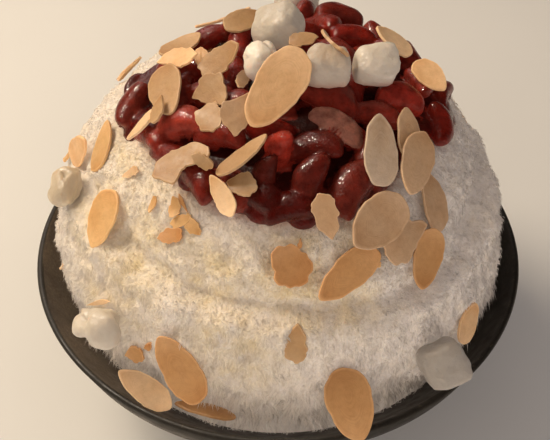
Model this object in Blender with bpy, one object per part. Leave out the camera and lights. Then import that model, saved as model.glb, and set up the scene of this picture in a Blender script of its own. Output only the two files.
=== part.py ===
"""A bowl of shaved milk ice: a tall heap of snow-like ice in a dark stoneware bowl, crowned
with sweet red beans in syrup, rice cakes and toasted almond slices.

Run it with blender --background --python part.py, or from Blender's text editor.
Units are metres, +Z is up, and the origin is under the middle of the bowl's foot.
The bowl's front, where a spoon would start, faces -Y.
"""

import math
import random

import bmesh
import bpy
from mathutils import Matrix, Vector, noise
from mathutils.bvhtree import BVHTree
from mathutils.kdtree import KDTree

# ---------------------------------------------------------------- the bowl
RIM_RADIUS = 0.0780
RIM_HEIGHT = 0.0565
INNER_RADIUS = 0.0754
FLOOR_HEIGHT = 0.0085
INNER_RISE = 0.0465
INNER_POWER = 2.6
WALL = 0.0040
FOOT_RADIUS = 0.035
FOOT_WIDTH = 0.0045
FOOT_DEPTH = 0.004
BOWL_SEGMENTS = 40

# ------------------------------------------------------- the heap of shaved ice
HEAP_CENTRE = Vector((-0.0005, 0.0025, 0.068))
HEAP_SEGMENTS = 60
BOWL_GAP = 0.0014
# Side of the heap from where it leaves the bowl up to its top, as (radius, height).
HEAP_SIDE = (
    (0.0640, 0.0445),
    (0.0684, 0.0540),
    (0.0704, 0.0655),
    (0.0694, 0.0780),
    (0.0662, 0.0872),
    (0.0612, 0.0935),
    (0.0570, 0.1000),
    (0.0490, 0.1090),
    (0.0375, 0.1158),
    (0.0215, 0.1200),
    (0.0000, 0.1215),
)
SIDE_STEPS = 27
LUMP_HEIGHT = 0.0026
LUMP_SIZE = 0.0125
TERRACE_HEIGHT = 0.0016
TERRACE_SIZE = 0.0080
CRUMB_HEIGHT = 0.0018
CRUMB_SIZE = 0.0036
SMOOTH_ABOVE = 0.1100
NEST_DEPTH = 0.0050
NEST_RADIUS = 0.0120

# --------------------------------------------------------- the red bean topping
# Radius of the topping's edge at twelve even azimuths, counted from +X towards +Y.
TOPPING_EDGE = (
    *(0.0505, 0.0480, 0.0430, 0.0385, 0.0335, 0.0345),
    *(0.0450, 0.0400, 0.0430, 0.0455, 0.0470, 0.0425),
)
TOPPING_GAP = 0.0005
SYRUP_EDGE = 0.0016
SYRUP_RISE = 0.0046
SYRUP_RINGS = 4
SYRUP_SEGMENTS = 24
BEAN_WIDTH_SHARE = 0.56
BEAN_THICKNESS_SHARE = 0.46
BEAN_BEND = 0.16
BEAN_BLUNTNESS = 0.62
BEAN_ROUND, BEAN_RINGS = 8, 4
FILLER_ROUND, FILLER_RINGS = 6, 3
FILLER_LENGTH = 0.0160
FILLER_COUNT = 96
FILLER_SPACING = 0.0090
FILLER_INSET = 0.0040
GOLDEN_ANGLE = math.pi * (3 - math.sqrt(5))

# ----------------------------------------------------- rice cakes and almonds
REST_GAP = 0.0004
SLICE_THICKNESS = 0.0011
SLICE_EDGE = 0.0030
CAKE_GRID = 3
AIM_PASSES = 8
REACH = 0.032

# The view in which the toppings' spots are read: a frame of 550 x 440, with the bowl seen from
# its front at 45 degrees. A spot is (across, down) in that frame.
VIEW_FRAME = (550, 440)
VIEW_FOCAL = 1187.0
VIEW_TARGET = Vector((-0.001, 0.0, 0.067))
VIEW_DISTANCE = 0.38
VIEW_ELEVATION = math.radians(45)
VIEW_BACK = Vector((0.0, -math.cos(VIEW_ELEVATION), math.sin(VIEW_ELEVATION)))
VIEW_RIGHT = Vector((1.0, 0.0, 0.0))
VIEW_UP = VIEW_BACK.cross(VIEW_RIGHT)
VIEW_POINT = VIEW_TARGET + VIEW_DISTANCE * VIEW_BACK

# Beans that show, as (spot, turn in the view in degrees, length in metres, dip in degrees).
# A bean that dips stands more on its end.
BEANS = (
    ((329, 101), -30, 0.0190, 0),
    ((398, 100), -17, 0.0150, 5),
    ((418, 84), -61, 0.0125, 10),
    ((440, 94), 70, 0.0110, 15),
    ((438, 126), -80, 0.0140, 0),
    ((377, 117), -35, 0.0140, 20),
    ((347, 138), -18, 0.0130, 0),
    ((353, 187), 58, 0.0180, 0),
    ((279, 151), 65, 0.0150, 50),
    ((311, 181), 75, 0.0155, 15),
    ((315, 148), -10, 0.0150, 20),
    ((262, 199), -25, 0.0150, 5),
    ((291, 208), 12, 0.0150, 5),
    ((266, 178), 80, 0.0125, 25),
    ((338, 19), -10, 0.0160, 0),
    ((303, 13), 0, 0.0130, 5),
    ((352, 39), -12, 0.0140, 5),
    ((207, 43), 25, 0.0140, 10),
    ((242, 46), 85, 0.0125, 20),
    ((134, 106), 60, 0.0145, 0),
    ((183, 126), 10, 0.0160, 5),
    ((154, 138), -35, 0.0135, 10),
    ((221, 137), -5, 0.0155, 10),
    ((199, 180), -50, 0.0150, 10),
    ((170, 158), -40, 0.0130, 10),
    ((231, 190), -60, 0.0140, 15),
    ((388, 52), 10, 0.0140, 5),
    ((356, 88), 80, 0.0115, 25),
    ((236, 30), 25, 0.0140, 5),
    ((232, 112), 40, 0.0140, 20),
)

# Rice cakes, as name: (spot, (length, width, height), turn in degrees, lean in degrees), and how
# far the piece is turned to face the viewer, 0 to 1, where it doesn't just lie on the heap.
RICE_CAKES = {
    "rice_cake_crown": ((278, 26), (0.0140, 0.0118, 0.0108), 8, 0),
    "rice_cake_tilted": ((263, 60), (0.0108, 0.0092, 0.0110), 60, 14),
    "rice_cake_wet": ((328, 66), (0.0128, 0.0106, 0.0100), -12, 4),
    "rice_cake_square": ((376, 65), (0.0120, 0.0110, 0.0110), 3, 0),
    "rice_cake_left_foot": ((98, 327), (0.0140, 0.0112, 0.0112), -8, 12, 0.8),
    "rice_cake_right_foot": ((444, 364), (0.0130, 0.0130, 0.0120), 25, 10, 0.8),
    "rice_cake_left_edge": ((66, 188), (0.0120, 0.0095, 0.0090), 80, 0, 0.2),
}
SUNKEN_CAKES = ("rice_cake_left_foot", "rice_cake_left_edge")
# Rice cakes on the far side, as name: (azimuth, climb above the heap's middle, size, turn, lean).
FAR_CAKES = {
    "rice_cake_far_crown": (82, 48, (0.0130, 0.0120, 0.0115), 25, 0),
    "rice_cake_far_side": (116, 2, (0.0135, 0.0120, 0.0110), 15, 6),
}


def whole(length, width, **more):
    """An unbroken slice: a pointed oval."""
    return dict(length=length, width=width, **more)


def broken(length, width, *cuts, **more):
    """What is left of a slice after straight breaks, each (direction in degrees, distance)."""
    return dict(length=length, width=width, cuts=cuts, **more)


# Almond slices, as name: (spot, turn of the pointed end in degrees, lean, pitch, shape), and how
# far the slice faces the viewer, as above. Lean tips a slice about its length, and pitch lifts its
# pointed end. The lower ones come first.
ALMONDS = {
    "almond_crown_edge": ((242, 20), 28, 0, 0, whole(0.0135, 0.0080)),
    "almond_back_left_edge": ((180, 46), 30, -10, 0, whole(0.0145, 0.0085)),
    "almond_left_corner": ((178, 58), 12, 10, 0, broken(0.0130, 0.0075, (250, 0.0024))),
    "almond_left_broad": ((165, 88), 282, 8, 0, whole(0.0170, 0.0112)),
    "almond_left_dark_chip": ((158, 111), 70, -15, 0, broken(0.0090, 0.0055, (300, 0.0020))),
    "almond_left_sliver": ((142, 125), 230, 15, 0, whole(0.0105, 0.0044)),
    "almond_small_oval": ((201, 56), 95, 5, 0, whole(0.0064, 0.0040)),
    "almond_hooked": ((220, 61), 38, 20, 0, broken(0.0140, 0.0078, bite=(-1, -28, 4.6))),
    "almond_five_sided": (
        (211, 91), 170, 0, 0, broken(0.0135, 0.0108, (80, 0.0038), (350, 0.0042), (215, 0.0050))
    ),
    "almond_needle_chip": ((243, 78), 62, 10, 0, whole(0.0072, 0.0036)),
    "almond_notched": ((210, 116), 100, 0, 0, broken(0.0105, 0.0082, (20, 0.0034), bite=(3, -5, 2.4))),
    "almond_wedge": ((236, 112), 265, 5, 0, broken(0.0125, 0.0090, (95, 0.0036), (205, 0.0032))),
    "almond_bridge": ((303, 42), 10, 0, 0, broken(0.0090, 0.0042, (180, 0.0036))),
    "almond_ridge": ((334, 45), -43, -48, 0, broken(0.0120, 0.0066, (0, 0.0050))),
    "almond_hero": ((278, 86), 236, 0, 0, whole(0.0240, 0.0132), 0.75),
    "almond_pale_right": ((395, 42), 144, -8, 0, whole(0.0128, 0.0088)),
    "almond_right_edge": ((430, 73), -44, 30, 0, whole(0.0120, 0.0080)),
    "almond_scar_left": ((180, 162), 27, 0, 0, broken(0.0175, 0.0100, bite=(2, -9, 7.0))),
    "almond_curl": ((203, 160), -35, 12, 0, broken(0.0074, 0.0040, (0, 0.0030))),
    "almond_standing": ((241, 157), 38, -38, 0, whole(0.0165, 0.0072)),
    "almond_triangle": ((242, 181), 170, 10, 0, broken(0.0100, 0.0074, (60, 0.0026), (310, 0.0026))),
    "almond_left_tongue": ((223, 197), 118, 0, 0, whole(0.0122, 0.0054)),
    "almond_upright_pale": ((381, 152), 92, -4, 0, whole(0.0198, 0.0098)),
    "almond_upright_back": ((410, 139), 100, 0, 0, whole(0.0165, 0.0088)),
    "almond_upright_front": ((417, 162), 256, 0, 0, whole(0.0190, 0.0106)),
    "almond_right_lower": ((428, 257), 258, 6, 0, whole(0.0168, 0.0090)),
    "almond_right_flank": ((435, 203), 104, 8, 0, whole(0.0168, 0.0090)),
    "almond_corner_piece": ((404, 240), 35, 0, 0, broken(0.0150, 0.0120, (300, 0.0044), (45, 0.0062))),
    "almond_tipped": ((350, 272), 221, 0, 0, whole(0.0205, 0.0098)),
    "almond_round": ((380, 221), 222, 0, 0, whole(0.0185, 0.0132)),
    "almond_bumpy": ((326, 215), 285, 8, 0, broken(0.0126, 0.0068, bite=(3, 5, 2.6))),
    "almond_sunk": ((290, 266), 150, 4, 0, broken(0.0130, 0.0112, (40, 0.0048))),
    "almond_front_chip": ((296, 346), 86, -10, 0, broken(0.0118, 0.0062, (70, 0.0046))),
    "almond_front_foot": ((350, 403), 285, 0, 0, whole(0.0205, 0.0132), 0.8),
    "almond_right_foot": ((468, 324), 75, 20, 0, whole(0.0125, 0.0080), 0.5),
    "almond_left_flank": ((102, 217), 250, 0, 0, whole(0.0172, 0.0098)),
    "almond_left_foot": ((181, 371), 122, 0, 0, whole(0.0215, 0.0108), 0.6),
    "almond_rim_left": ((146, 390), 144, 0, 0, whole(0.0180, 0.0080), 1.0),
    "almond_rim_edge": ((207, 410), 166, 62, 0, whole(0.0180, 0.0072), 1.0),
    "almond_left_high": ((102, 148), 75, 0, 0, whole(0.0150, 0.0095)),
    "almond_left_edge": ((77, 151), 55, 20, 0, whole(0.0150, 0.0080)),
}
# Slices on the far side, as name: (azimuth, climb, turn, lean, pitch, shape).
FAR_ALMONDS = {
    "almond_far_high": (60, 40, 60, 0, 0, whole(0.0195, 0.0100)),
    "almond_far_pair": (100, 29, 150, 0, 0, whole(0.0180, 0.0102)),
    "almond_far_chip": (52, 24, 20, 8, 0, broken(0.0140, 0.0092, (200, 0.0036))),
    "almond_far_low": (72, 6, 100, 0, 0, whole(0.0205, 0.0108)),
    "almond_far_left": (146, 30, 40, 0, 0, whole(0.0185, 0.0096)),
    "almond_far_crown": (118, 58, 10, 4, 0, whole(0.0190, 0.0105)),
    "almond_far_foot": (28, 3, 75, 0, 0, whole(0.0190, 0.0104)),
}


# ------------------------------------------------------------------ helpers
def clear_scene():
    for obj in list(bpy.data.objects):
        bpy.data.objects.remove(obj)


def material(name, colour, roughness):
    """A plain Principled material; nothing on this dish is metal."""
    made = bpy.data.materials.new(name)
    made.use_nodes = True
    shader = made.node_tree.nodes["Principled BSDF"]
    shader.inputs["Base Color"].default_value = (*colour, 1.0)
    shader.inputs["Roughness"].default_value = roughness
    shader.inputs["Metallic"].default_value = 0.0
    made.diffuse_color = (*colour, 1.0)
    return made


def add_object(name, points, faces, surface, smooth_angle=40):
    """A named mesh object of triangles from its points and faces, with its normals facing out."""
    mesh = bpy.data.meshes.new(name)
    mesh.from_pydata([tuple(p) for p in points], [], faces)
    shape = bmesh.new()
    shape.from_mesh(mesh)
    bmesh.ops.recalc_face_normals(shape, faces=shape.faces)
    bmesh.ops.triangulate(shape, faces=shape.faces)
    shape.to_mesh(mesh)
    shape.free()
    mesh.materials.append(surface)
    mesh.shade_smooth()
    mesh.set_sharp_from_angle(angle=math.radians(smooth_angle))
    obj = bpy.data.objects.new(name, mesh)
    bpy.context.scene.collection.objects.link(obj)
    return obj


def stacked_rings(rings, bottom, top):
    """Points and faces of a closed shape: rings of equal length, with a point at each end."""
    count = len(rings[0])
    points = [bottom] + [p for ring in rings for p in ring] + [top]
    faces = []
    for k in range(count):
        after = (k + 1) % count
        faces.append((0, 1 + after, 1 + k))
        faces.append((len(points) - 1, len(points) - 1 - count + k, len(points) - 1 - count + after))
        for level in range(len(rings) - 1):
            low = 1 + level * count
            high = low + count
            faces.append((low + k, low + after, high + after, high + k))
    return points, faces


def smooth_curve(knots, share):
    """The point at this share, 0 to 1, of a Catmull-Rom curve through the knots."""
    place = min(share, 0.999999) * (len(knots) - 1)
    index = int(place)
    t = place - index
    a = Vector(knots[max(index - 1, 0)])
    b = Vector(knots[index])
    c = Vector(knots[index + 1])
    d = Vector(knots[min(index + 2, len(knots) - 1)])
    return 0.5 * (2 * b + (c - a) * t + (2 * a - 5 * b + 4 * c - d) * t**2 + (3 * b - a - 3 * c + d) * t**3)


def eased(value, low, high):
    """0 below low, 1 above high, and a smooth step between."""
    t = min(max((value - low) / (high - low), 0.0), 1.0)
    return t * t * (3 - 2 * t)


def edge_points(points, faces):
    """A solid's corners, and more points along its edges."""
    edges = {tuple(sorted(pair)) for face in faces for pair in zip(face, (*face[1:], face[0]))}
    between = [points[a].lerp(points[b], share) for a, b in sorted(edges) for share in (0.25, 0.5, 0.75)]
    return list(points) + between


def solid_of(points, faces):
    """What a solid needs for pieces to be rested on it: a tree of its faces and one of its edges."""
    samples = edge_points(points, faces)
    near = KDTree(len(samples))
    for index, sample in enumerate(samples):
        near.insert(sample, index)
    near.balance()
    return BVHTree.FromPolygons(points, faces), near


def solid_of_object(obj):
    mesh = obj.data
    return solid_of([v.co.copy() for v in mesh.vertices], [tuple(p.vertices) for p in mesh.polygons])


# --------------------------------------------------------------------- bowl
def inner_height(radius):
    """Height of the bowl's inside, which climbs a little faster than a paraboloid."""
    return FLOOR_HEIGHT + INNER_RISE * (radius / INNER_RADIUS) ** INNER_POWER


def outer_wall(radius):
    """The point of the bowl's outside that lies one wall thickness behind this inner radius."""
    slope = INNER_POWER * INNER_RISE / INNER_RADIUS * (radius / INNER_RADIUS) ** (INNER_POWER - 1)
    length = math.hypot(slope, 1)
    return radius + WALL * slope / length, inner_height(radius) - WALL / length


def bowl_outline():
    """(radius, height) round the section, from the inside floor over the rim to the underside."""
    inside = [(r, inner_height(r)) for r in (0.018, 0.034, 0.048, 0.060, 0.069, INNER_RADIUS)]
    rim = [
        (INNER_RADIUS + 0.0008, RIM_HEIGHT - 0.0002),
        (RIM_RADIUS - 0.0009, RIM_HEIGHT),
        (RIM_RADIUS, RIM_HEIGHT - 0.0012),
    ]
    outside = [outer_wall(r) for r in (0.069, 0.059, 0.047, 0.037)]
    foot = [
        (FOOT_RADIUS + 0.0008, 0.0080),
        (FOOT_RADIUS, 0.0012),
        (FOOT_RADIUS - 0.0008, 0.0),
        (FOOT_RADIUS - FOOT_WIDTH, 0.0),
        (FOOT_RADIUS - FOOT_WIDTH - 0.0012, FOOT_DEPTH),
    ]
    return inside + rim + outside + foot


def make_bowl(surface):
    rings = []
    for radius, height in bowl_outline():
        angles = (math.tau * k / BOWL_SEGMENTS for k in range(BOWL_SEGMENTS))
        rings.append([Vector((radius * math.cos(a), radius * math.sin(a), height)) for a in angles])
    inside_middle = Vector((0, 0, FLOOR_HEIGHT))
    under_middle = Vector((0, 0, FOOT_DEPTH))
    points, faces = stacked_rings(rings, inside_middle, under_middle)
    return add_object("bowl", points, faces, surface, smooth_angle=55)


# --------------------------------------------------------------- shaved ice
def heap_outline(azimuth):
    """How far the heap swells at this azimuth, as a share of its radius: its left flank is slimmer."""
    flank = 0.016 * (1 - math.cos(azimuth))
    return 1 + 0.010 * math.cos(2 * azimuth + 0.3) - 0.012 * math.cos(3 * azimuth - 1.1) - flank


def relief(point):
    """Height of the lumps, level terraces and crumbs of shaved ice, at a point of the heap."""
    lumps = noise.fractal(point / LUMP_SIZE, 0.9, 2.0, 2)
    level = Vector((point.x * 0.35, point.y * 0.35, point.z)) / TERRACE_SIZE
    terraces = noise.noise(level + Vector((7.0, 3.0, 1.0)))
    crumbs = noise.noise(point / CRUMB_SIZE)
    bare = eased(point.z, 0.046, 0.056) * (1 - eased(point.z, SMOOTH_ABOVE - 0.008, SMOOTH_ABOVE))
    return bare * (LUMP_HEIGHT * lumps + TERRACE_HEIGHT * terraces + CRUMB_HEIGHT * crumbs)


def heap_point(azimuth, share):
    """A point of the heap's open side, without relief: share 0 is at the bowl and 1 is the top."""
    radius, height = smooth_curve(HEAP_SIDE, share)
    radius *= heap_outline(azimuth)
    point = Vector((radius * math.cos(azimuth), radius * math.sin(azimuth), height))
    point.x += HEAP_CENTRE.x
    point.y += HEAP_CENTRE.y
    if share == 0:
        point.z = inner_height(math.hypot(point.x, point.y)) + BOWL_GAP
    return point


def clear_of_bowl(point):
    """The point, drawn in towards the middle where it would come too close to the bowl's wall."""
    if point.z > RIM_HEIGHT + 2 * BOWL_GAP:
        return point
    climb = (min(point.z, RIM_HEIGHT) - BOWL_GAP - FLOOR_HEIGHT) / INNER_RISE
    widest = INNER_RADIUS * climb ** (1 / INNER_POWER)
    pull = min(widest / math.hypot(point.x, point.y), 1.0)
    return Vector((point.x * pull, point.y * pull, point.z))


def nest_depth(point, nests):
    """How deep the ice is pressed in at a point, by the toppings that have sunk into it."""
    near = min(((point - nest).length for nest in nests), default=NEST_RADIUS)
    return NEST_DEPTH * (1 - eased(near, 0.0, NEST_RADIUS))


def heap_ring(share, nests):
    ring = []
    half_step = 0.5 * (round(share * SIDE_STEPS) % 2)
    for k in range(HEAP_SEGMENTS):
        point = heap_point(math.tau * (k + half_step) / HEAP_SEGMENTS, share)
        outward = (point - HEAP_CENTRE).normalized()
        rise = relief(point) - nest_depth(point, nests)
        ring.append(clear_of_bowl(point + outward * rise) if share else point)
    return ring


def sunk_ring(share):
    """A ring of the ice inside the bowl, at this share of the way from the middle to the edge."""
    ring = []
    for k in range(HEAP_SEGMENTS):
        point = heap_point(math.tau * k / HEAP_SEGMENTS, 0) * share
        point.z = inner_height(math.hypot(point.x, point.y)) + BOWL_GAP
        ring.append(point)
    return ring


def heap_shape(nests):
    """Points and faces of the heap, pressed in at the nests."""
    rings = [sunk_ring(share) for share in (0.35, 0.62, 0.84)]
    rings += [heap_ring(step / SIDE_STEPS, nests) for step in range(SIDE_STEPS)]
    bottom = Vector((0, 0, FLOOR_HEIGHT + BOWL_GAP))
    top = Vector((HEAP_CENTRE.x, HEAP_CENTRE.y, HEAP_SIDE[-1][1]))
    return stacked_rings(rings, bottom, top)


def make_shaved_ice(surface):
    even = solid_of(*heap_shape([]))
    nests = [seen_place([even], RICE_CAKES[name][0], 0)[0] for name in SUNKEN_CAKES]
    nests.append(far_place([even], *FAR_CAKES["rice_cake_far_side"][:2], 0)[0])
    points, faces = heap_shape(nests)
    return add_object("shaved_ice", points, faces, surface, smooth_angle=40)


# -------------------------------------------------------------------- spots
def view_ray(spot):
    """The direction in which the viewpoint sees this spot of the frame."""
    across = (spot[0] - VIEW_FRAME[0] / 2) / VIEW_FOCAL
    down = (spot[1] - VIEW_FRAME[1] / 2) / VIEW_FOCAL
    return (across * VIEW_RIGHT - down * VIEW_UP - VIEW_BACK).normalized()


def seen_spot(point):
    """The spot of the frame at which the viewpoint sees this point."""
    offset = point - VIEW_POINT
    scale = VIEW_FOCAL / -offset.dot(VIEW_BACK)
    across = VIEW_FRAME[0] / 2 + scale * offset.dot(VIEW_RIGHT)
    return Vector((across, VIEW_FRAME[1] / 2 - scale * offset.dot(VIEW_UP)))


def first_hit(solids, start, direction):
    """(point, normal) where a ray first meets any of these solids, or else where it comes nearest."""
    hits = [tree.ray_cast(start, direction) for tree, _ in solids]
    hits = [hit for hit in hits if hit[0] is not None]
    if not hits:
        passing = start + direction * (HEAP_CENTRE - start).dot(direction)
        hits = [tree.find_nearest(passing) for tree, _ in solids]
    point, normal = min(hits, key=lambda hit: hit[3])[:2]
    return point, normal if normal.dot(direction) < 0 else -normal


def seen_place(solids, spot, turn, facing=0.0):
    """(point, normal, long axis, way off) at a spot of the view, the axis turned this far in it.

    Facing 1 turns the normal to the viewer, for a piece that leans or that bridges a gap. The way
    off is the direction in which a piece moves to come clear, half-way from normal to viewer.
    """
    sight = view_ray(spot)
    point, normal = first_hit(solids, VIEW_POINT, sight)
    normal = (normal + (point - HEAP_CENTRE).normalized()).normalized()
    normal = normal.lerp(-sight, facing).normalized()
    flat = math.cos(math.radians(turn)) * VIEW_RIGHT + math.sin(math.radians(turn)) * VIEW_UP
    slant = min(sight.dot(normal), -0.25)
    along = flat - sight * (flat.dot(normal) / slant)
    along = along - normal * along.dot(normal)
    return point, normal, along.normalized(), (normal - sight).normalized()


def far_place(solids, azimuth, climb, turn):
    """The same at an azimuth and a climb seen from the heap's middle, for the far side."""
    azimuth = math.radians(azimuth)
    climb = math.radians(climb)
    level = Vector((math.cos(azimuth), math.sin(azimuth), 0))
    outward = (level * math.cos(climb) + Vector((0, 0, math.sin(climb)))).normalized()
    point, normal = first_hit(solids, HEAP_CENTRE + outward * VIEW_DISTANCE, -outward)
    normal = (normal + outward).normalized()
    across = Vector((-math.sin(azimuth), math.cos(azimuth), 0))
    along = across * math.cos(math.radians(turn)) + normal.cross(across) * math.sin(math.radians(turn))
    return point, normal, (along - normal * along.dot(normal)).normalized(), normal


def placed(point, normal, along, lean=0, pitch=0):
    """The matrix of a piece whose +X runs along and whose +Z is the normal, then tipped."""
    across = normal.cross(along)
    frame = Matrix((along, across, normal)).transposed().to_4x4()
    tips = Matrix.Rotation(math.radians(lean), 4, "X") @ Matrix.Rotation(math.radians(-pitch), 4, "Y")
    return Matrix.Translation(point) @ frame @ tips


def inside_of(tree, point, way):
    """Between which distances the line through a point is inside a solid, as [(low, high)]."""
    enters = tree.ray_cast(point - way * REACH, way, 2 * REACH)[0]
    leaves = tree.ray_cast(point + way * REACH, -way, 2 * REACH)[0] if enters else None
    if leaves is None:
        return []
    return [((enters - point).dot(way), (leaves - point).dot(way))]


def blocked_moves(solids, points, faces, way):
    """The moves of a piece this way, as (low, high), at which it would be inside one of the solids."""
    own_tree = BVHTree.FromPolygons(points, faces)
    middle = sum(points, Vector()) / len(points)
    size = max((p - middle).length for p in points)
    own_samples = edge_points(points, faces)
    blocked = []
    for tree, near in solids:
        if tree.find_nearest(middle, REACH + size)[0] is None:
            continue
        for sample in own_samples:
            blocked += inside_of(tree, sample, way)
        for sample, _, _ in near.find_range(middle, REACH + size):
            offset = sample - middle
            if (offset - way * offset.dot(way)).length < size:
                blocked += [(-high, -low) for low, high in inside_of(own_tree, sample, way)]
    return blocked


def rest_on(ground, pieces, points, faces, way):
    """How far a piece must move this way to come off the ground and clear of the other pieces."""
    move = max([0.0] + [high for _, high in blocked_moves(ground, points, faces, way)]) + REST_GAP
    for low, high in sorted(blocked_moves(pieces, points, faces, way)):
        if low - REST_GAP < move < high + REST_GAP:
            move = high + REST_GAP
    return move


def laid_at(ground, pieces, points, faces, place, lean, pitch):
    """A piece's points moved to a place, tipped, and rested on what is there."""
    point, normal, along, way_off = place
    matrix = placed(point, normal, along, lean, pitch)
    points = [matrix @ p for p in points]
    move = rest_on(ground, pieces, points, faces, way_off)
    return [p + way_off * move for p in points]


def laid_in_view(ground, pieces, points, faces, spot, turn, lean, pitch, facing=0.0):
    """The same, aimed several times, and kept where the piece's middle is seen nearest the spot."""
    spot = Vector(spot)
    aim = spot.copy()
    tries = []
    for _ in range(AIM_PASSES):
        place = seen_place(ground + pieces, aim, turn, facing)
        laid = laid_at(ground, pieces, points, faces, place, lean, pitch)
        miss = spot - seen_spot(sum(laid, Vector()) / len(laid))
        tries.append((miss.length, laid))
        aim += 0.5 * miss
    return min(tries, key=lambda attempt: attempt[0])[1]


# ---------------------------------------------------------------- red beans
def closed_curve(values, share):
    """The value at this share of the way round a smooth closed curve through even values."""
    count = len(values)
    place = share % 1.0 * count
    index = int(place)
    t = place - index
    a, b, c, d = (values[(index + step) % count] for step in (-1, 0, 1, 2))
    return 0.5 * (2 * b + (c - a) * t + (2 * a - 5 * b + 4 * c - d) * t**2 + (3 * b - a - 3 * c + d) * t**3)


def topping_radius(azimuth):
    return closed_curve(TOPPING_EDGE, azimuth / math.tau)


def syrup_edge(azimuth):
    """Share of the heap's side at which the topping's edge lies."""
    low, high = 0.5, 1.0
    for _ in range(20):
        middle = (low + high) / 2
        if smooth_curve(HEAP_SIDE, middle).x > topping_radius(azimuth):
            low = middle
        else:
            high = middle
    return low


def syrup_core():
    """Points and faces of the body of syrup and mashed bean, which lies over the heap's top."""
    under, over = [], []
    for ring in range(SYRUP_RINGS):
        inward = ring / SYRUP_RINGS
        lower, upper = [], []
        for k in range(SYRUP_SEGMENTS):
            azimuth = math.tau * k / SYRUP_SEGMENTS
            edge = syrup_edge(azimuth)
            point = heap_point(azimuth, edge + (1 - edge) * inward)
            outward = (point - HEAP_CENTRE).normalized()
            thickness = SYRUP_EDGE + SYRUP_RISE * math.sqrt(inward)
            lower.append(point + outward * TOPPING_GAP)
            upper.append(point + outward * (TOPPING_GAP + thickness))
        under.append(lower)
        over.append(upper)
    top = Vector((HEAP_CENTRE.x, HEAP_CENTRE.y, HEAP_SIDE[-1][1] + TOPPING_GAP))
    return stacked_rings(under[::-1] + over, top, top + Vector((0, 0, SYRUP_EDGE + SYRUP_RISE)))


def bean_points(length, around, along):
    """Points and faces of one kidney bean, lying along X with its hollow side towards -Y."""
    rings = []
    for step in range(1, along + 1):
        turn = math.pi * step / (along + 1)
        x = -math.cos(turn) / 2
        swell = math.sin(turn) ** BEAN_BLUNTNESS / 2
        bend = -BEAN_BEND * (4 * x * x - 0.4)
        ring = []
        for k in range(around):
            angle = math.tau * k / around
            y = swell * BEAN_WIDTH_SHARE * math.cos(angle) + bend
            z = swell * BEAN_THICKNESS_SHARE * math.sin(angle)
            ring.append(Vector((x, y, z)) * length)
        rings.append(ring)
    tip_bend = -BEAN_BEND * 0.6 * length
    return stacked_rings(rings, Vector((-length / 2, tip_bend, 0)), Vector((length / 2, tip_bend, 0)))


def bean_places(core):
    """Where every bean lies: those that the view shows, then fillers on a sunflower spiral."""
    draw = random.Random(11)
    places = []
    for spot, turn, length, dip in BEANS:
        point, normal, along = seen_place([core], spot, turn)[:3]
        places.append((point, normal, along, length, dip, BEAN_ROUND, BEAN_RINGS))
    for k in range(FILLER_COUNT):
        climb = 88 - 50 * math.sqrt((k + 0.5) / FILLER_COUNT)
        azimuth = math.degrees(k * GOLDEN_ANGLE)
        turn = draw.uniform(0, 180)
        point, normal, along = far_place([core], azimuth, climb, turn)[:3]
        inside = math.hypot(point.x - HEAP_CENTRE.x, point.y - HEAP_CENTRE.y)
        near = min((point - place[0]).length for place in places)
        if near > FILLER_SPACING and inside < topping_radius(math.radians(azimuth)) - FILLER_INSET:
            length = FILLER_LENGTH * draw.uniform(0.86, 1.12)
            dip = draw.uniform(0, 18)
            places.append((point, normal, along, length, dip, FILLER_ROUND, FILLER_RINGS))
    return places


def keep_outer_shell(mesh):
    """Drops sealed hollows and loose scraps that fusing leaves, keeping the largest shell."""
    shape = bmesh.new()
    shape.from_mesh(mesh)
    bmesh.ops.triangulate(shape, faces=shape.faces)
    waiting = set(shape.faces)
    shells = []
    while waiting:
        shell, edge_of = set(), [waiting.pop()]
        while edge_of:
            face = edge_of.pop()
            shell.add(face)
            for edge in face.edges:
                for other in edge.link_faces:
                    if other in waiting:
                        waiting.discard(other)
                        edge_of.append(other)
        shells.append(shell)
    largest = max(shells, key=len)
    spare = [face for shell in shells if shell is not largest for face in shell]
    bmesh.ops.delete(shape, geom=spare, context="FACES")
    shape.to_mesh(mesh)
    shape.free()


def fused(core, extras):
    """One Boolean union of the core and the extras, applied, with the extras removed."""
    group = bpy.data.collections.new("to_fuse")
    for extra in extras:
        bpy.context.scene.collection.objects.unlink(extra)
        group.objects.link(extra)
    bpy.context.scene.collection.children.link(group)
    union = core.modifiers.new("fuse", "BOOLEAN")
    union.operation = "UNION"
    union.operand_type = "COLLECTION"
    union.collection = group
    union.solver = "MANIFOLD"
    bpy.context.view_layer.update()
    graph = bpy.context.evaluated_depsgraph_get()
    joined = bpy.data.meshes.new_from_object(core.evaluated_get(graph))
    core.modifiers.clear()
    for extra in extras:
        bpy.data.objects.remove(extra)
    bpy.data.collections.remove(group)
    core.data = joined
    keep_outer_shell(core.data)
    core.data.shade_smooth()
    core.data.set_sharp_from_angle(angle=math.radians(50))
    return core


def make_red_beans(surface, ice):
    core_points, core_faces = syrup_core()
    core = add_object("red_beans", core_points, core_faces, surface)
    beans = []
    for point, normal, along, length, dip, *sides in bean_places(solid_of(core_points, core_faces)):
        points, faces = bean_points(length, *sides)
        matrix = placed(point, normal, along, pitch=dip)
        points = [matrix @ p for p in points]
        lift = rest_on([ice], [], points, faces, normal)
        points = [p + normal * lift for p in points]
        beans.append(add_object("bean", points, faces, surface))
    return fused(core, beans)


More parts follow.
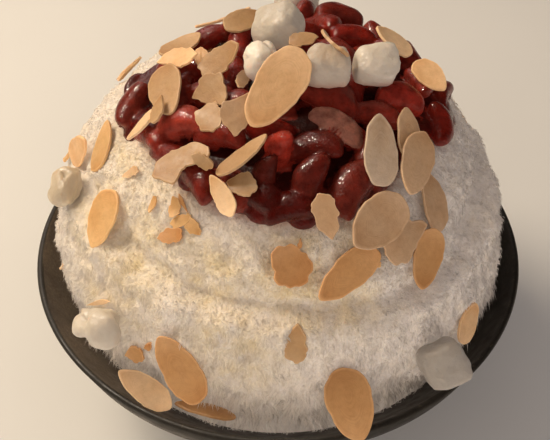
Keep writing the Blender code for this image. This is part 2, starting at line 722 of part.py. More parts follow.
# --------------------------------------------------------------- rice cakes
def rice_cake_points(size):
    """Points and faces of a soft cube: rounded, and a little lopsided."""
    shape = bmesh.new()
    bmesh.ops.create_cube(shape, size=2.0)
    bmesh.ops.subdivide_edges(shape, edges=shape.edges, cuts=CAKE_GRID - 1, use_grid_fill=True)
    for vertex in shape.verts:
        x, y, z = vertex.co
        rounding = (x**4 + y**4 + z**4) ** 0.25
        soft = Vector((x, y, z)) / rounding
        soft *= 1 + 0.05 * noise.noise(soft * 1.3 + Vector((size[0] * 900, 0, 0)))
        vertex.co = Vector((soft.x * size[0], soft.y * size[1], soft.z * size[2])) / 2
    points = [v.co.copy() for v in shape.verts]
    faces = [tuple(v.index for v in face.verts) for face in shape.faces]
    shape.free()
    return points, faces


# ------------------------------------------------------------ almond slices
def slice_reach(angle, shape):
    """Distance from the middle of a slice to its edge in this direction."""
    half_length = shape["length"] / 2
    half_width = shape["width"] / 2
    point_share = 0.10 * math.exp(-((math.remainder(angle, math.tau) / 0.34) ** 2))
    taper = 1 - 0.10 * math.cos(angle)
    x = math.cos(angle) / half_length
    y = math.sin(angle) / (half_width * taper)
    reach = (abs(x) ** 2.1 + abs(y) ** 2.1) ** (-1 / 2.1) * (1 + point_share)
    for direction, distance in shape.get("cuts", ()):
        facing = math.cos(angle - math.radians(direction))
        if facing > 1e-6:
            reach = min(reach, distance / facing)
    if "bite" in shape:
        across, up, radius = (0.001 * v for v in shape["bite"])
        along = across * math.cos(angle) + up * math.sin(angle)
        off = across**2 + up**2 - radius**2
        if along > 0 and along**2 > off:
            reach = min(reach, along - math.sqrt(along**2 - off))
    return reach


def slice_points(shape):
    """Points and faces of a flat slice, whose pointed end is at +X."""
    half = SLICE_THICKNESS / 2
    count = 8 + round(shape["length"] / SLICE_EDGE)
    angles = [math.tau * k / count for k in range(count)]
    edge = [Vector((math.cos(a), math.sin(a), 0)) * slice_reach(a, shape) for a in angles]
    points = [p + Vector((0, 0, z)) for z in (-half, half) for p in edge]
    faces = [tuple(range(count))[::-1], tuple(range(count, 2 * count))]
    faces += [(k, (k + 1) % count, count + (k + 1) % count, count + k) for k in range(count)]
    return points, faces


# --------------------------------------------------------------- the whole dish
def main():
    clear_scene()
    stoneware = material("stoneware", (0.020, 0.018, 0.015), 0.55)
    milk_ice = material("milk_ice", (0.86, 0.83, 0.77), 0.60)
    bean = material("red_bean", (0.13, 0.014, 0.010), 0.18)
    rice_cake = material("rice_cake", (0.78, 0.74, 0.68), 0.45)
    almond = material("toasted_almond", (0.62, 0.36, 0.17), 0.50)

    bowl = make_bowl(stoneware)
    ice = make_shaved_ice(milk_ice)
    beans = make_red_beans(bean, solid_of_object(ice))
    ground = [solid_of_object(obj) for obj in (bowl, ice, beans)]
    pieces = []

    def add_topping(name, points, faces, surface):
        topping = add_object(name, points, faces, surface, smooth_angle=50)
        pieces.append(solid_of_object(topping))

    for name, (spot, size, turn, lean, *facing) in RICE_CAKES.items():
        points, faces = rice_cake_points(size)
        points = laid_in_view(ground, pieces, points, faces, spot, turn, lean, 0, *facing)
        add_topping(name, points, faces, rice_cake)
    for name, (azimuth, climb, size, turn, lean) in FAR_CAKES.items():
        points, faces = rice_cake_points(size)
        place = far_place(ground, azimuth, climb, turn)
        add_topping(name, laid_at(ground, pieces, points, faces, place, lean, 0), faces, rice_cake)
    for name, (spot, turn, lean, pitch, shape, *facing) in ALMONDS.items():
        points, faces = slice_points(shape)
        points = laid_in_view(ground, pieces, points, faces, spot, turn, lean, pitch, *facing)
        add_topping(name, points, faces, almond)
    for name, (azimuth, climb, turn, lean, pitch, shape) in FAR_ALMONDS.items():
        points, faces = slice_points(shape)
        place = far_place(ground, azimuth, climb, turn)
        add_topping(name, laid_at(ground, pieces, points, faces, place, lean, pitch), faces, almond)


main()
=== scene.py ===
"""Looks for the bowl of shaved milk ice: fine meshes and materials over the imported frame.

The stoneware bowl, the heap of ice and its flakes, the beans in syrup, the rice cakes and the
almond slices each stand for their solid, and keep its place and form. Units are metres.
"""

import math
import random

import bmesh
import bpy
import numpy as np
from mathutils import Matrix, Vector, noise
from mathutils.bvhtree import BVHTree
from mathutils.kdtree import KDTree


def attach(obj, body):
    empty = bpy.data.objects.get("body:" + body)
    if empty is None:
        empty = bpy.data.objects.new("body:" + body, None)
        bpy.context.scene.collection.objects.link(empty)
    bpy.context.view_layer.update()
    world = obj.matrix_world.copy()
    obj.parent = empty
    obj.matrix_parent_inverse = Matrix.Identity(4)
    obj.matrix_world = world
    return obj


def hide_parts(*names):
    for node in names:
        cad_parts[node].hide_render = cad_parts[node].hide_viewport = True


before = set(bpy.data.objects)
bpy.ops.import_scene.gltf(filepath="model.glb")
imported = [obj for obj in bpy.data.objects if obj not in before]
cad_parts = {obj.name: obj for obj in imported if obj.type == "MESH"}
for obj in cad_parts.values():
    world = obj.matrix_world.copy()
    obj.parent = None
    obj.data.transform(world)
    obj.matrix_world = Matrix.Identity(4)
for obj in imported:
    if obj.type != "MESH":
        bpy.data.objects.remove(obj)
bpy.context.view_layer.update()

# The view in which spots are read, a frame of 550 x 440 pixels, as in the part's source.
VIEW_FRAME = (550, 440)
VIEW_FOCAL = 1187.0
VIEW_TARGET = Vector((-0.001, 0.0, 0.067))
VIEW_DISTANCE = 0.38
VIEW_ELEVATION = math.radians(45)
VIEW_BACK = Vector((0.0, -math.cos(VIEW_ELEVATION), math.sin(VIEW_ELEVATION)))
VIEW_RIGHT = Vector((1.0, 0.0, 0.0))
VIEW_UP = VIEW_BACK.cross(VIEW_RIGHT)
VIEW_POINT = VIEW_TARGET + VIEW_DISTANCE * VIEW_BACK
SENSOR_WIDTH = 36.0

# Bowl, as in the part's source.
RIM_RADIUS = 0.078
RIM_HEIGHT = 0.0565
RIM_DROP = 0.0015
INNER_RADIUS = 0.0754
FLOOR_HEIGHT = 0.0085
INNER_RISE = 0.0465
INNER_POWER = 2.6
WALL = 0.0040
FOOT_RADIUS = 0.035
FOOT_WIDTH = 0.0045
FOOT_DEPTH = 0.004
# The foot ring's section: (radius past the ring's edge, height) down its outside and up its inside.
FOOT_OUTSIDE = (
    *((0.0010, 0.0085), (0.0002, 0.0070), (0, 0.0050), (0, 0.0012)),
    *((-0.0003, 0.0003), (-0.0010, 0)),
)
FOOT_INSIDE = (
    *((0.0010, 0), (0.0003, 0.0003), (-0.0002, 0.0012)),
    *((-0.0006, FOOT_DEPTH - 0.0006), (-0.0016, FOOT_DEPTH)),
)
# Radii of the inside at which the section is drawn, and those behind which its outside is drawn.
INSIDE_RADII = np.linspace(0.012, INNER_RADIUS, 26)
OUTSIDE_RADII = np.linspace(0.0705, 0.037, 22)
RIM_STEPS = 8
BOWL_SEGMENTS = 180
BOWL_UNEVEN = 0.00012
# Where the inside is painted paler high at the left, as painted light, and the two colours of the glaze.
PAINTED_LIGHT_AZIMUTH = math.radians(192)
BARE_GLAZE = (0.021, 0.018, 0.0145)
PAINTED_LIGHT_GLAZE = (0.180, 0.145, 0.108)

# Heap of ice: its outline and large lumps are those of the part's source.
HEAP_CENTRE = Vector((-0.0005, 0.0025, 0.068))
HEAP_SIDE = (
    *((0.0640, 0.0445), (0.0684, 0.0540), (0.0704, 0.0655), (0.0694, 0.0780), (0.0662, 0.0872)),
    *((0.0612, 0.0935), (0.0570, 0.1000), (0.0490, 0.1090), (0.0375, 0.1158), (0.0215, 0.1200)),
    (0.0000, 0.1215),
)
BOWL_GAP = 0.0014
CORE_GAP = 0.4 * BOWL_GAP
LUMP_HEIGHT = 0.55 * 0.0026
LUMP_SIZE = 0.0125
TERRACE_HEIGHT = 0.65 * 0.0016
TERRACE_SIZE = 0.0080
CRUMB_HEIGHT = 0.3 * 0.0018
CRUMB_SIZE = 0.0036
SMOOTH_ABOVE = 0.1100
# Its finer surface.
ICE_SEGMENTS = 450
ICE_STEPS = 170
ICE_COVER = 0.0004
ICE_BELOW = 0.008
# The height above which the ice is clear of the bowl's inside.
BARE_ABOVE = 0.0405
CREASE_HEIGHT = 0.0905
CREASE_SWING = 0.003
TUFT_HEIGHT = 0.0011
LOCK_HEIGHT = 0.0008
FOOT_LOCK_HEIGHT = 0.0014
LEDGE_HEIGHT = 0.0018
HOLLOW_DEPTH = 0.0030
UNDER_TOPPING_DEPTH = 0.0030
FINE_CRUMB_HEIGHT = 0.0008
DRAW_IN = 0.0009
SUNK_REACH = 0.0045
SUNK_RISE = 0.0016
# Colours of the ice, linear, and how much darker the core under its flakes is painted, as painted shade
# between them.
WHITE_ICE = (0.94, 0.905, 0.87)
SOAKED_ICE = (0.93, 0.82, 0.57)
PINK_ICE = (0.62, 0.30, 0.22)
CORE_PAINTED_SHADE = 0.92
# How far past the syrup's edge the pink starts and reaches, above which height, and how strong it is.
PINK_START, PINK_REACH, PINK_ABOVE, PINK_SHARE = 0.0006, 0.0010, 0.095, 0.55

# Flakes of ice: numbers for each piece, and the ranges of those that hang and those that lie as crumbs.
FLAKES_PER_PIECE = 52000
FLAKE_PIECES = 3
HANGING_LENGTHS = (0.0010, 0.0025)
HANGING_WIDTHS = (0.00018, 0.00038)
HANGING_RISES = (4, 62)
LYING_LENGTHS = (0.0006, 0.0015)
LYING_WIDTHS = (0.00028, 0.00054)
LYING_RISES = (4, 40)
SHORTEST_FLAKE = 0.0003
FLAKE_TONES = (0.84, 1.08)
NEAR_TOPPING = 0.0045

# The topping: the radius of its edge at twelve even azimuths, and the syrup's thickness under it.
TOPPING_EDGE = (
    *(0.0505, 0.0480, 0.0430, 0.0385, 0.0335, 0.0345),
    *(0.0450, 0.0400, 0.0430, 0.0455, 0.0470, 0.0425),
)
TOPPING_GAP = 0.0005
SYRUP_EDGE = 0.0016
SYRUP_RISE = 0.0046
SYRUP_RINGS = 4
SYRUP_SEGMENTS = 24
# Beans and the fillers between them: shape, lengths in metres and spacing.
BEAN_WIDTH_SHARE = 0.56
BEAN_THICKNESS_SHARE = 0.46
BEAN_BEND = 0.16
BEAN_BLUNTNESS = 0.62
BEAN_DENTS = 0.09
BEAN_WRINKLES = 0.035
FILLER_LENGTH = 0.0160
FILLER_COUNT = 96
FILLER_SPACING = 0.0090
FILLER_INSET = 0.0040
FILLER_SIZES = (0.86, 1.12)
FILLER_DIPS = (0, 18)
GOLDEN_ANGLE = math.pi * (3 - math.sqrt(5))
# Beans that the view shows, nearly as in the part's source: (spot, turn in the view, length, dip).
BEANS = (
    ((329, 101), -30, 0.0190, 0),
    ((398, 100), -17, 0.0150, 5),
    ((418, 84), -61, 0.0125, 10),
    ((440, 94), 70, 0.0110, 15),
    ((438, 126), -80, 0.0140, 0),
    ((377, 117), -35, 0.0140, 20),
    ((347, 138), -18, 0.0130, 0),
    ((353, 187), 58, 0.0180, 0),
    ((281, 151), 65, 0.0140, 72),
    ((311, 181), 75, 0.0155, 15),
    ((315, 148), -10, 0.0150, 20),
    ((262, 199), -25, 0.0150, 5),
    ((291, 208), 12, 0.0150, 5),
    ((266, 178), 80, 0.0125, 25),
    ((338, 19), -10, 0.0160, 0),
    ((303, 13), 0, 0.0130, 5),
    ((352, 39), -12, 0.0140, 5),
    ((207, 43), 25, 0.0140, 10),
    ((242, 46), 85, 0.0125, 20),
    ((134, 106), 60, 0.0145, 0),
    ((183, 126), 10, 0.0160, 5),
    ((154, 138), -35, 0.0135, 10),
    ((221, 137), -5, 0.0155, 10),
    ((199, 180), -50, 0.0150, 10),
    ((170, 158), -40, 0.0130, 10),
    ((231, 190), -60, 0.0140, 15),
    ((388, 52), 10, 0.0140, 5),
    ((356, 88), 80, 0.0115, 25),
    ((236, 30), 25, 0.0140, 5),
    ((232, 112), 40, 0.0140, 20),
)
# How much paler or darker than usual a bean is painted, by its place in the list: paler ones as painted
# sheen, darker ones as painted shade.
BEAN_SHEEN_AND_SHADE = {
    **{0: 1.1, 1: 1.5, 5: 1.2, 6: 0.8, 8: 1.7, 9: 0.7, 10: 0.5},
    **{11: 0.36, 12: 0.36, 13: 0.5, 20: 1.6, 21: 1.3},
}
BEAN_LIFT = 0.0009
BEAN_LEAN = 18
FILLER_DEPTH = 0.0006
# A split skin that lies flat on the beans: (spot, turn in the view, length, dip).
SPLIT_SKIN = ((334, 131), -32, 0.0165, 0)
SPLIT_LIFT = 0.0030
SPLIT_FLATNESS = (1.0, 0.85, 0.42)
SPLIT_TONE = (0.25, 0.105, 0.080)
# Syrup at its thin edge and deep inside: the darker inside is partly the syrup's depth and partly painted
# shade in the gaps between beans.
THIN_SYRUP = (0.085, 0.008, 0.006)
DEEP_SHADED_SYRUP = (0.030, 0.0035, 0.0025)
# Rounded lobes in which the syrup ends on the ice in front: (spot, radius in metres).
SYRUP_LOBES = (
    *(((284, 214), 0.0056), ((303, 212), 0.0050), ((262, 206), 0.0052), ((243, 198), 0.0046)),
    *(((322, 203), 0.0044), ((206, 186), 0.0046), ((190, 178), 0.0040), ((336, 205), 0.0036)),
    *(((130, 128), 0.0044), ((122, 112), 0.0046), ((146, 144), 0.0040), ((440, 142), 0.0040)),
)
# Lobes on the far side: their azimuths in degrees, how far each strays from its own, their radii.
FAR_LOBE_AZIMUTHS = range(0, 200, 11)
FAR_LOBE_STRAY = 4
FAR_LOBE_RADII = (0.0028, 0.0048)
LOBE_FLATNESS = 0.42
LOBE_RINGS, LOBE_ROUND = 8, 16
BEAN_ROUND, BEAN_RINGS = 28, 22
SYRUP_FINE_RINGS, SYRUP_FINE_SEGMENTS = 14, 96
SYRUP_VOXEL = 0.00058
SYRUP_DROP = 0.0030

# Where sweet milk has soaked in and tints the ice: (spot, radius in metres, strength).
MILK_SPOTS = (
    ((150, 240), 0.0230, 0.55),
    ((110, 300), 0.0160, 0.50),
    ((295, 280), 0.0170, 0.75),
    ((230, 345), 0.0180, 0.55),
    ((215, 280), 0.0110, 0.80),
    ((122, 262), 0.0080, 1.00),
    ((95, 215), 0.0120, 0.70),
    ((130, 150), 0.0140, 0.60),
    ((350, 300), 0.0090, 0.70),
    ((300, 330), 0.0060, 0.60),
    ((350, 240), 0.0090, 0.45),
)
# The same on the far side: (azimuth, climb, radius, strength).
FAR_MILK_SPOTS = (
    (40, 20, 0.016, 0.6),
    (85, 8, 0.018, 0.6),
    (130, 18, 0.016, 0.7),
    (165, 5, 0.016, 0.5),
)

# Rice cakes: how square they are, which are softer, and which syrup has touched. Colours are linear, and
# some cakes are painted paler or darker as painted light and shade.
CAKE_STEPS = 22
CAKE_SHARPNESS = 3.5
CAKE_UNEVENNESS = 1.5
CAKE_TAPER = 0.10
CAKE_SKEW = 0.08
CAKE_SWELL = 0.07
CAKE_DIMPLES = ((0.00036, 0.0030), (0.00016, 0.0011))
SOFT_SHARE = 0.62
SOFT_CAKES = ("rice_cake_left_edge", "rice_cake_left_foot", "rice_cake_tilted")
CAKE_WETNESS = 0.8
WET_CAKES = (
    *("rice_cake_wet", "rice_cake_crown", "rice_cake_tilted"),
    *("rice_cake_square", "rice_cake_far_crown"),
)
CAKE_STAIN = (0.42, 0.13, 0.09)
PLAIN_CAKE = (0.67, 0.635, 0.58)
# Each of these cakes is painted paler or darker than the plain colour: painted light and shade.
CAKE_LIGHT_AND_SHADE = {
    "rice_cake_crown": (0.58, 0.55, 0.50),
    "rice_cake_left_edge": (0.58, 0.51, 0.40),
    "rice_cake_left_foot": (0.66, 0.62, 0.55),
    "rice_cake_right_foot": (0.43, 0.41, 0.385),
    "rice_cake_wet": (0.58, 0.53, 0.47),
    "rice_cake_tilted": (0.86, 0.82, 0.75),
}

# Colours of almond slices, linear, and the slices that differ from the usual tan; the taupe and grey looks
# are painted shade, for slices in shade.
ALMOND_TAN = (0.77, 0.51, 0.28)
ALMOND_LOOKS = {
    "pale": (0.78, 0.57, 0.36),
    "wet": (0.60, 0.32, 0.13),
    # Painted shade: the taupe and grey looks stand for slices that lie in shade.
    "shaded_taupe": (0.54, 0.37, 0.23),
    "shaded_grey": (0.50, 0.40, 0.31),
    "toasted": (0.48, 0.31, 0.16),
    "golden": (0.72, 0.46, 0.21),
    "orange": (0.60, 0.34, 0.145),
}
SLICES_BY_LOOK = {
    "pale": ("left_sliver", "needle_chip", "pale_right", "left_tongue", "rim_left"),
    "wet": ("sunk",),
    # These slices lie in shade, and their look is painted shade.
    "shaded_taupe": (
        *("wedge", "upright_back", "upright_front", "round", "corner_piece"),
        *("bumpy", "right_flank"),
    ),
    "shaded_grey": ("upright_pale",),
    "toasted": (
        *("crown_edge", "back_left_edge", "left_dark_chip", "hooked", "bridge", "five_sided"),
        *("notched", "left_broad", "scar_left", "ridge", "standing", "curl", "triangle", "front_chip"),
    ),
    "golden": ("left_high", "left_flank"),
    "orange": ("left_foot", "front_foot", "tipped", "right_lower", "rim_edge"),
}
# Slices with broken edges; the others are whole ovals.
BROKEN = (
    *("left_corner", "left_dark_chip", "hooked", "five_sided", "notched", "wedge", "bridge", "ridge"),
    *("scar_left", "curl", "triangle", "corner_piece", "bumpy", "sunk", "front_chip"),
    *("small_oval", "needle_chip", "far_chip"),
)
SLICE_TONES = (0.90, 1.08)
SLICE_CURLS = (0.0004, 0.0010)
SLICE_TWIST = 0.00035
SLICE_DISH = 0.00016
SLICE_RIDGE = 0.00005
# How far out the rings of a slice lie, and how much thinner it is than its solid.
SLICE_RINGS = (0.16, 0.34, 0.52, 0.68, 0.80, 0.89, 0.95, 0.985)
SLICE_THINNING = 0.72
RIM_THINNING = 0.72
RIM_REACH = 1.006
# How deep the nicks in an edge are, next to the usual.
WHOLE_NICKS, BROKEN_NICKS, CRUMB_NICKS = 0.45, 1.6, 2.0
# Pieces that the ice has closed round: it stands a little up against them.
SUNK = (
    *("rice_cake_left_foot", "rice_cake_left_edge", "rice_cake_right_foot", "rice_cake_far_side"),
    *("almond_sunk", "almond_front_chip", "almond_left_flank", "almond_left_high"),
    *("almond_right_foot", "almond_left_foot", "almond_front_foot"),
)
# Crumbs of almond, too small for solids of their own.
CRUMB_LIFT = 0.0009
CRUMB_HALF = 0.00035
CRUMB_LEAN = 16
# Each crumb: (spot, turn in the view, length, width, look).
ALMOND_CRUMBS = (
    ((155, 205), 65, 0.0062, 0.0018, "golden"),
    ((134, 173), 35, 0.0056, 0.0024, "pale"),
    ((177, 206), 78, 0.0058, 0.0034, "golden"),
    ((184, 203), 115, 0.0052, 0.0014, "wet"),
    ((182, 220), 35, 0.0070, 0.0042, "golden"),
    ((193, 226), -50, 0.0070, 0.0044, "golden"),
    ((173, 236), 12, 0.0072, 0.0040, "wet"),
    ((138, 351), 38, 0.0078, 0.0056, "orange"),
    ((150, 346), 60, 0.0050, 0.0022, "wet"),
    ((56, 264), -65, 0.0062, 0.0030, "pale"),
    ((101, 301), 8, 0.0100, 0.0016, "pale"),
    ((66, 155), 60, 0.0060, 0.0030, "golden"),
    ((373, 262), -40, 0.0050, 0.0022, "golden"),
    ((471, 349), 75, 0.0052, 0.0016, "shaded_taupe"),
    ((208, 52), 20, 0.0040, 0.0022, "golden"),
    ((250, 63), 100, 0.0040, 0.0018, "pale"),
    ((300, 244), 80, 0.0030, 0.0012, "wet"),
)


# ---- helpers
def along_curve(a, b, c, d, t):
    """The value at t, 0 to 1, from b to c on the Catmull-Rom curve through four even values."""
    return 0.5 * (2 * b + (c - a) * t + (2 * a - 5 * b + 4 * c - d) * t**2 + (3 * b - a - 3 * c + d) * t**3)


def smooth_curve(knots, share):
    """The point at this share, 0 to 1, of a smooth curve through the knots."""
    place = min(share, 0.999999) * (len(knots) - 1)
    index = int(place)
    around = (min(max(index + step, 0), len(knots) - 1) for step in (-1, 0, 1, 2))
    return along_curve(*(Vector(knots[k]) for k in around), place - index)


def closed_curve(values, share):
    """The value at this share of the way round a smooth closed curve through even values."""
    place = share % 1.0 * len(values)
    index = int(place)
    return along_curve(*(values[(index + step) % len(values)] for step in (-1, 0, 1, 2)), place - index)


def eased(value, low, high):
    """0 below low, 1 above high, and a smooth step between."""
    t = min(max((value - low) / (high - low), 0.0), 1.0)
    return t * t * (3 - 2 * t)


def unit(rows):
    return rows / np.maximum(np.linalg.norm(rows, axis=1), 1e-12)[:, None]


def scaled(rows, amounts):
    """Each row times its own amount."""
    return rows * amounts[:, None]


def rows_of(items, name, kind=float):
    """A property of three numbers of every item, as rows."""
    rows = np.empty(len(items) * 3, dtype=kind)
    items.foreach_get(name, rows)
    return rows.reshape(-1, 3)


def round_point(radius, azimuth, height):
    return Vector((radius * math.cos(azimuth), radius * math.sin(azimuth), height))


def join(points, faces, own_points, own_faces):
    """Adds a shape's points and faces to those gathered so far."""
    start = len(points)
    points += own_points
    faces += [tuple(start + i for i in face) for face in own_faces]


def add_piece(name, points, faces, material, node=None):
    """A smooth mesh piece that rides on the root body, and stands for a node if one is named."""
    mesh = bpy.data.meshes.new(name)
    mesh.from_pydata([tuple(p) for p in points], [], faces)
    mesh.materials.append(material)
    mesh.shade_smooth()
    return add_mesh(name, mesh, node)


def add_mesh(name, mesh, node=None):
    obj = bpy.data.objects.new(name, mesh)
    bpy.context.scene.collection.objects.link(obj)
    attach(obj, "root")
    if node:
        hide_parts(node)
    return obj


def stacked_rings(rings, bottom, top):
    """Points and faces of a closed shape: rings of equal length, with a point at each end."""
    count = len(rings[0])
    points = [bottom] + [p for ring in rings for p in ring] + [top]
    faces = []
    for k in range(count):
        after = (k + 1) % count
        faces.append((0, 1 + after, 1 + k))
        faces.append((len(points) - 1, len(points) - 1 - count + k, len(points) - 1 - count + after))
        for level in range(len(rings) - 1):
            low = 1 + level * count
            high = low + count
            faces.append((low + k, low + after, high + after, high + k))
    return points, faces


def paint(mesh, name, values):
    """A colour for each vertex, from rows of red, green and blue."""
    attribute = mesh.color_attributes.new(name, "FLOAT_COLOR", "POINT")
    rgba = np.ones((len(mesh.vertices), 4), dtype=np.float32)
    rgba[:, :3] = values
    attribute.data.foreach_set("color", rgba.ravel())


def tree_of_node(*names):
    """One search tree over the CAD solids of these nodes."""
    return tree_of_meshes(*(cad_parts[name].data for name in names))


def tree_of_meshes(*meshes):
    points, faces = [], []
    for mesh in meshes:
        join(points, faces, [v.co.copy() for v in mesh.vertices], [p.vertices for p in mesh.polygons])
    return BVHTree.FromPolygons(points, faces)


# ---- materials
def set_inputs(node, values):
    for name, value in values.items():
        node.inputs[name].default_value = value


def new_material(name, values):
    """A material with its node tree and its Principled shader, set to these values."""
    material = bpy.data.materials.new(name)
    material.use_nodes = True
    shader = material.node_tree.nodes["Principled BSDF"]
    set_inputs(shader, values)
    return material, material.node_tree, shader


def add_noise(tree, scale, detail=3.0, rough=0.55, stretch=(1, 1, 1)):
    """A noise texture in object coordinates; scale is in cycles per metre."""
    place = tree.nodes.new("ShaderNodeTexCoord")
    mapping = tree.nodes.new("ShaderNodeMapping")
    mapping.inputs["Scale"].default_value = stretch
    texture = tree.nodes.new("ShaderNodeTexNoise")
    set_inputs(texture, {"Scale": scale, "Detail": detail, "Roughness": rough})
    tree.links.new(place.outputs["Object"], mapping.inputs["Vector"])
    tree.links.new(mapping.outputs["Vector"], texture.inputs["Vector"])
    return texture.outputs["Fac"]


def add_ramp(tree, value, stops):
    """A colour ramp over a value; each stop is (position, red, green, blue)."""
    ramp = tree.nodes.new("ShaderNodeValToRGB")
    elements = ramp.color_ramp.elements
    while len(elements) < len(stops):
        elements.new(0.5)
    for element, (position, *colour) in zip(elements, stops):
        element.position = position
        element.color = (*colour, 1.0)
    tree.links.new(value, ramp.inputs["Fac"])
    return ramp.outputs["Color"]


def add_mix(tree, factor, first, second, blend):
    """Two colour sockets blended this far."""
    mix = tree.nodes.new("ShaderNodeMix")
    mix.data_type = "RGBA"
    mix.blend_type = blend
    mix.inputs["Factor"].default_value = factor
    tree.links.new(first, mix.inputs[6])
    tree.links.new(second, mix.inputs[7])
    return mix.outputs[2]


def mottled(tree, colour, value, stops, factor=1.0):
    """A colour socket times a ramp over a value."""
    return add_mix(tree, factor, colour, add_ramp(tree, value, stops), "MULTIPLY")


def vary_roughness(tree, shader, value, low, high, smoothest, roughest):
    """Roughness between these two as the value goes from low to high."""
    node = tree.nodes.new("ShaderNodeMapRange")
    set_inputs(node, {"From Min": low, "From Max": high, "To Min": smoothest, "To Max": roughest})
    tree.links.new(value, node.inputs["Value"])
    tree.links.new(node.outputs["Result"], shader.inputs["Roughness"])


def add_attribute(tree, name, output="Color"):
    node = tree.nodes.new("ShaderNodeAttribute")
    node.attribute_name = name
    return node.outputs[output]


def add_bump(tree, shader, *layers, socket="Normal"):
    """Bump from several height sockets, each (height, distance in metres, strength)."""
    normal = None
    for height, distance, strength in layers:
        bump = tree.nodes.new("ShaderNodeBump")
        set_inputs(bump, {"Distance": distance, "Strength": strength})
        tree.links.new(height, bump.inputs["Height"])
        if normal:
            tree.links.new(normal, bump.inputs["Normal"])
        normal = bump.outputs["Normal"]
    tree.links.new(normal, shader.inputs[socket])


def stoneware_material():
    """Dark matt glaze with fine pale specks, painted paler high on the inside at the left as painted light.
    """
    material, tree, shader = new_material("stoneware_glaze", {"Specular IOR Level": 0.4})
    patches = ((0.30, 0.75, 0.75, 0.75), (0.55, 1.0, 1.0, 1.0), (0.80, 1.35, 1.30, 1.22))
    grain = ((0.30, 0.70, 0.70, 0.70), (0.55, 1.0, 1.0, 1.0), (0.75, 1.5, 1.45, 1.35))
    specks = ((0.64, 0, 0, 0), (0.74, 0.04, 0.034, 0.025), (1.0, 0.09, 0.08, 0.06))
    glaze = mottled(tree, add_attribute(tree, "tint"), add_noise(tree, 45, 4), patches)
    glaze = mottled(tree, glaze, add_noise(tree, 1200, 2, 0.6), grain)
    specks = add_ramp(tree, add_noise(tree, 900, 2, 0.5), specks)
    tree.links.new(add_mix(tree, 1.0, glaze, specks, "ADD"), shader.inputs["Base Color"])
    vary_roughness(tree, shader, add_noise(tree, 220, 3), 0.3, 0.7, 0.42, 0.66)
    rings = add_noise(tree, 160, 2, 0.5, (0.12, 0.12, 1.0))
    add_bump(tree, shader, (rings, 0.0006, 0.35), (add_noise(tree, 1400, 2), 0.00015, 0.4))
    return material


def glaze_tint(point):
    """Colour of the glaze: near black, painted paler high on the inside at the left as painted light."""
    radius = math.hypot(point.x, point.y)
    inside = radius < INNER_RADIUS + 0.0006 and point.z > FLOOR_HEIGHT - 0.001
    azimuth = math.atan2(point.y, point.x)
    off_left = abs(math.remainder(azimuth - PAINTED_LIGHT_AZIMUTH, math.tau))
    # Painted light: the left inner wall is painted paler, as if it caught the light.
    painted_light = (1 - eased(off_left, 0.35, 1.25)) * eased(point.z, 0.030, 0.048) * inside
    painted_light *= 0.85 + 0.5 * noise.noise(point / 0.011)
    return tuple(Vector(BARE_GLAZE).lerp(Vector(PAINTED_LIGHT_GLAZE), painted_light))


def ice_material(name, rough):
    """(material, tree, shader) of dry snow-like ice, tinted by its painted colour."""
    material, tree, shader = new_material(name, {"Roughness": rough, "Specular IOR Level": 0.35})
    stops = ((0.30, 0.93, 0.93, 0.95), (0.55, 1.0, 1.0, 1.0), (0.8, 1.0, 0.985, 0.95))
    colour = mottled(tree, add_attribute(tree, "tint"), add_noise(tree, 260, 4), stops)
    tree.links.new(colour, shader.inputs["Base Color"])
    return material, tree, shader


def ice_body_material():
    """Ice that light sinks into, with a fine grain."""
    material, tree, shader = ice_material("shaved_ice_body", 0.62)
    set_inputs(shader, {"Subsurface Weight": 0.5, "Subsurface Radius": (1.0, 0.92, 0.80)})
    shader.inputs["Subsurface Scale"].default_value = 0.0025
    fine = add_noise(tree, 1300, 3, 0.65)
    add_bump(tree, shader, (add_noise(tree, 560, 3, 0.6), 0.0010, 0.7), (fine, 0.0004, 0.6))
    return material


def ice_flake_material():
    """Thin ice that lets some light through."""
    material, tree, shader = ice_material("ice_flakes", 0.7)
    glow = tree.nodes.new("ShaderNodeBsdfTranslucent")
    blend = tree.nodes.new("ShaderNodeMixShader")
    blend.inputs["Fac"].default_value = 0.35
    tree.links.new(shader.inputs["Base Color"].links[0].from_socket, glow.inputs["Color"])
    tree.links.new(shader.outputs["BSDF"], blend.inputs[1])
    tree.links.new(glow.outputs["BSDF"], blend.inputs[2])
    tree.links.new(blend.outputs["Shader"], tree.nodes["Material Output"].inputs["Surface"])
    return material


def bean_material():
    """Boiled bean skins under thin syrup: deep red brown, glossy, finely pitted."""
    values = {"Specular IOR Level": 0.12, "Coat Weight": 0.5, "Coat Roughness": 0.09, "Coat IOR": 1.45}
    material, tree, shader = new_material("syrup_bean", values)
    set_inputs(shader, {"Subsurface Weight": 0.15, "Subsurface Radius": (1.0, 0.22, 0.12)})
    shader.inputs["Subsurface Scale"].default_value = 0.0015
    stops = ((0.30, 0.55, 0.45, 0.45), (0.52, 1.0, 1.0, 1.0), (0.75, 1.5, 1.35, 1.3))
    colour = mottled(tree, add_attribute(tree, "tint"), add_noise(tree, 330, 4, 0.6), stops)
    tree.links.new(colour, shader.inputs["Base Color"])
    vary_roughness(tree, shader, add_noise(tree, 420, 4), 0.35, 0.65, 0.22, 0.5)
    pits = (add_noise(tree, 620, 3, 0.6), 0.0006, 0.5)
    add_bump(tree, shader, pits, (add_noise(tree, 1900, 3, 0.6), 0.0003, 0.6))
    add_bump(tree, shader, (add_noise(tree, 1000, 2, 0.6), 0.0004, 0.62), socket="Coat Normal")
    return material


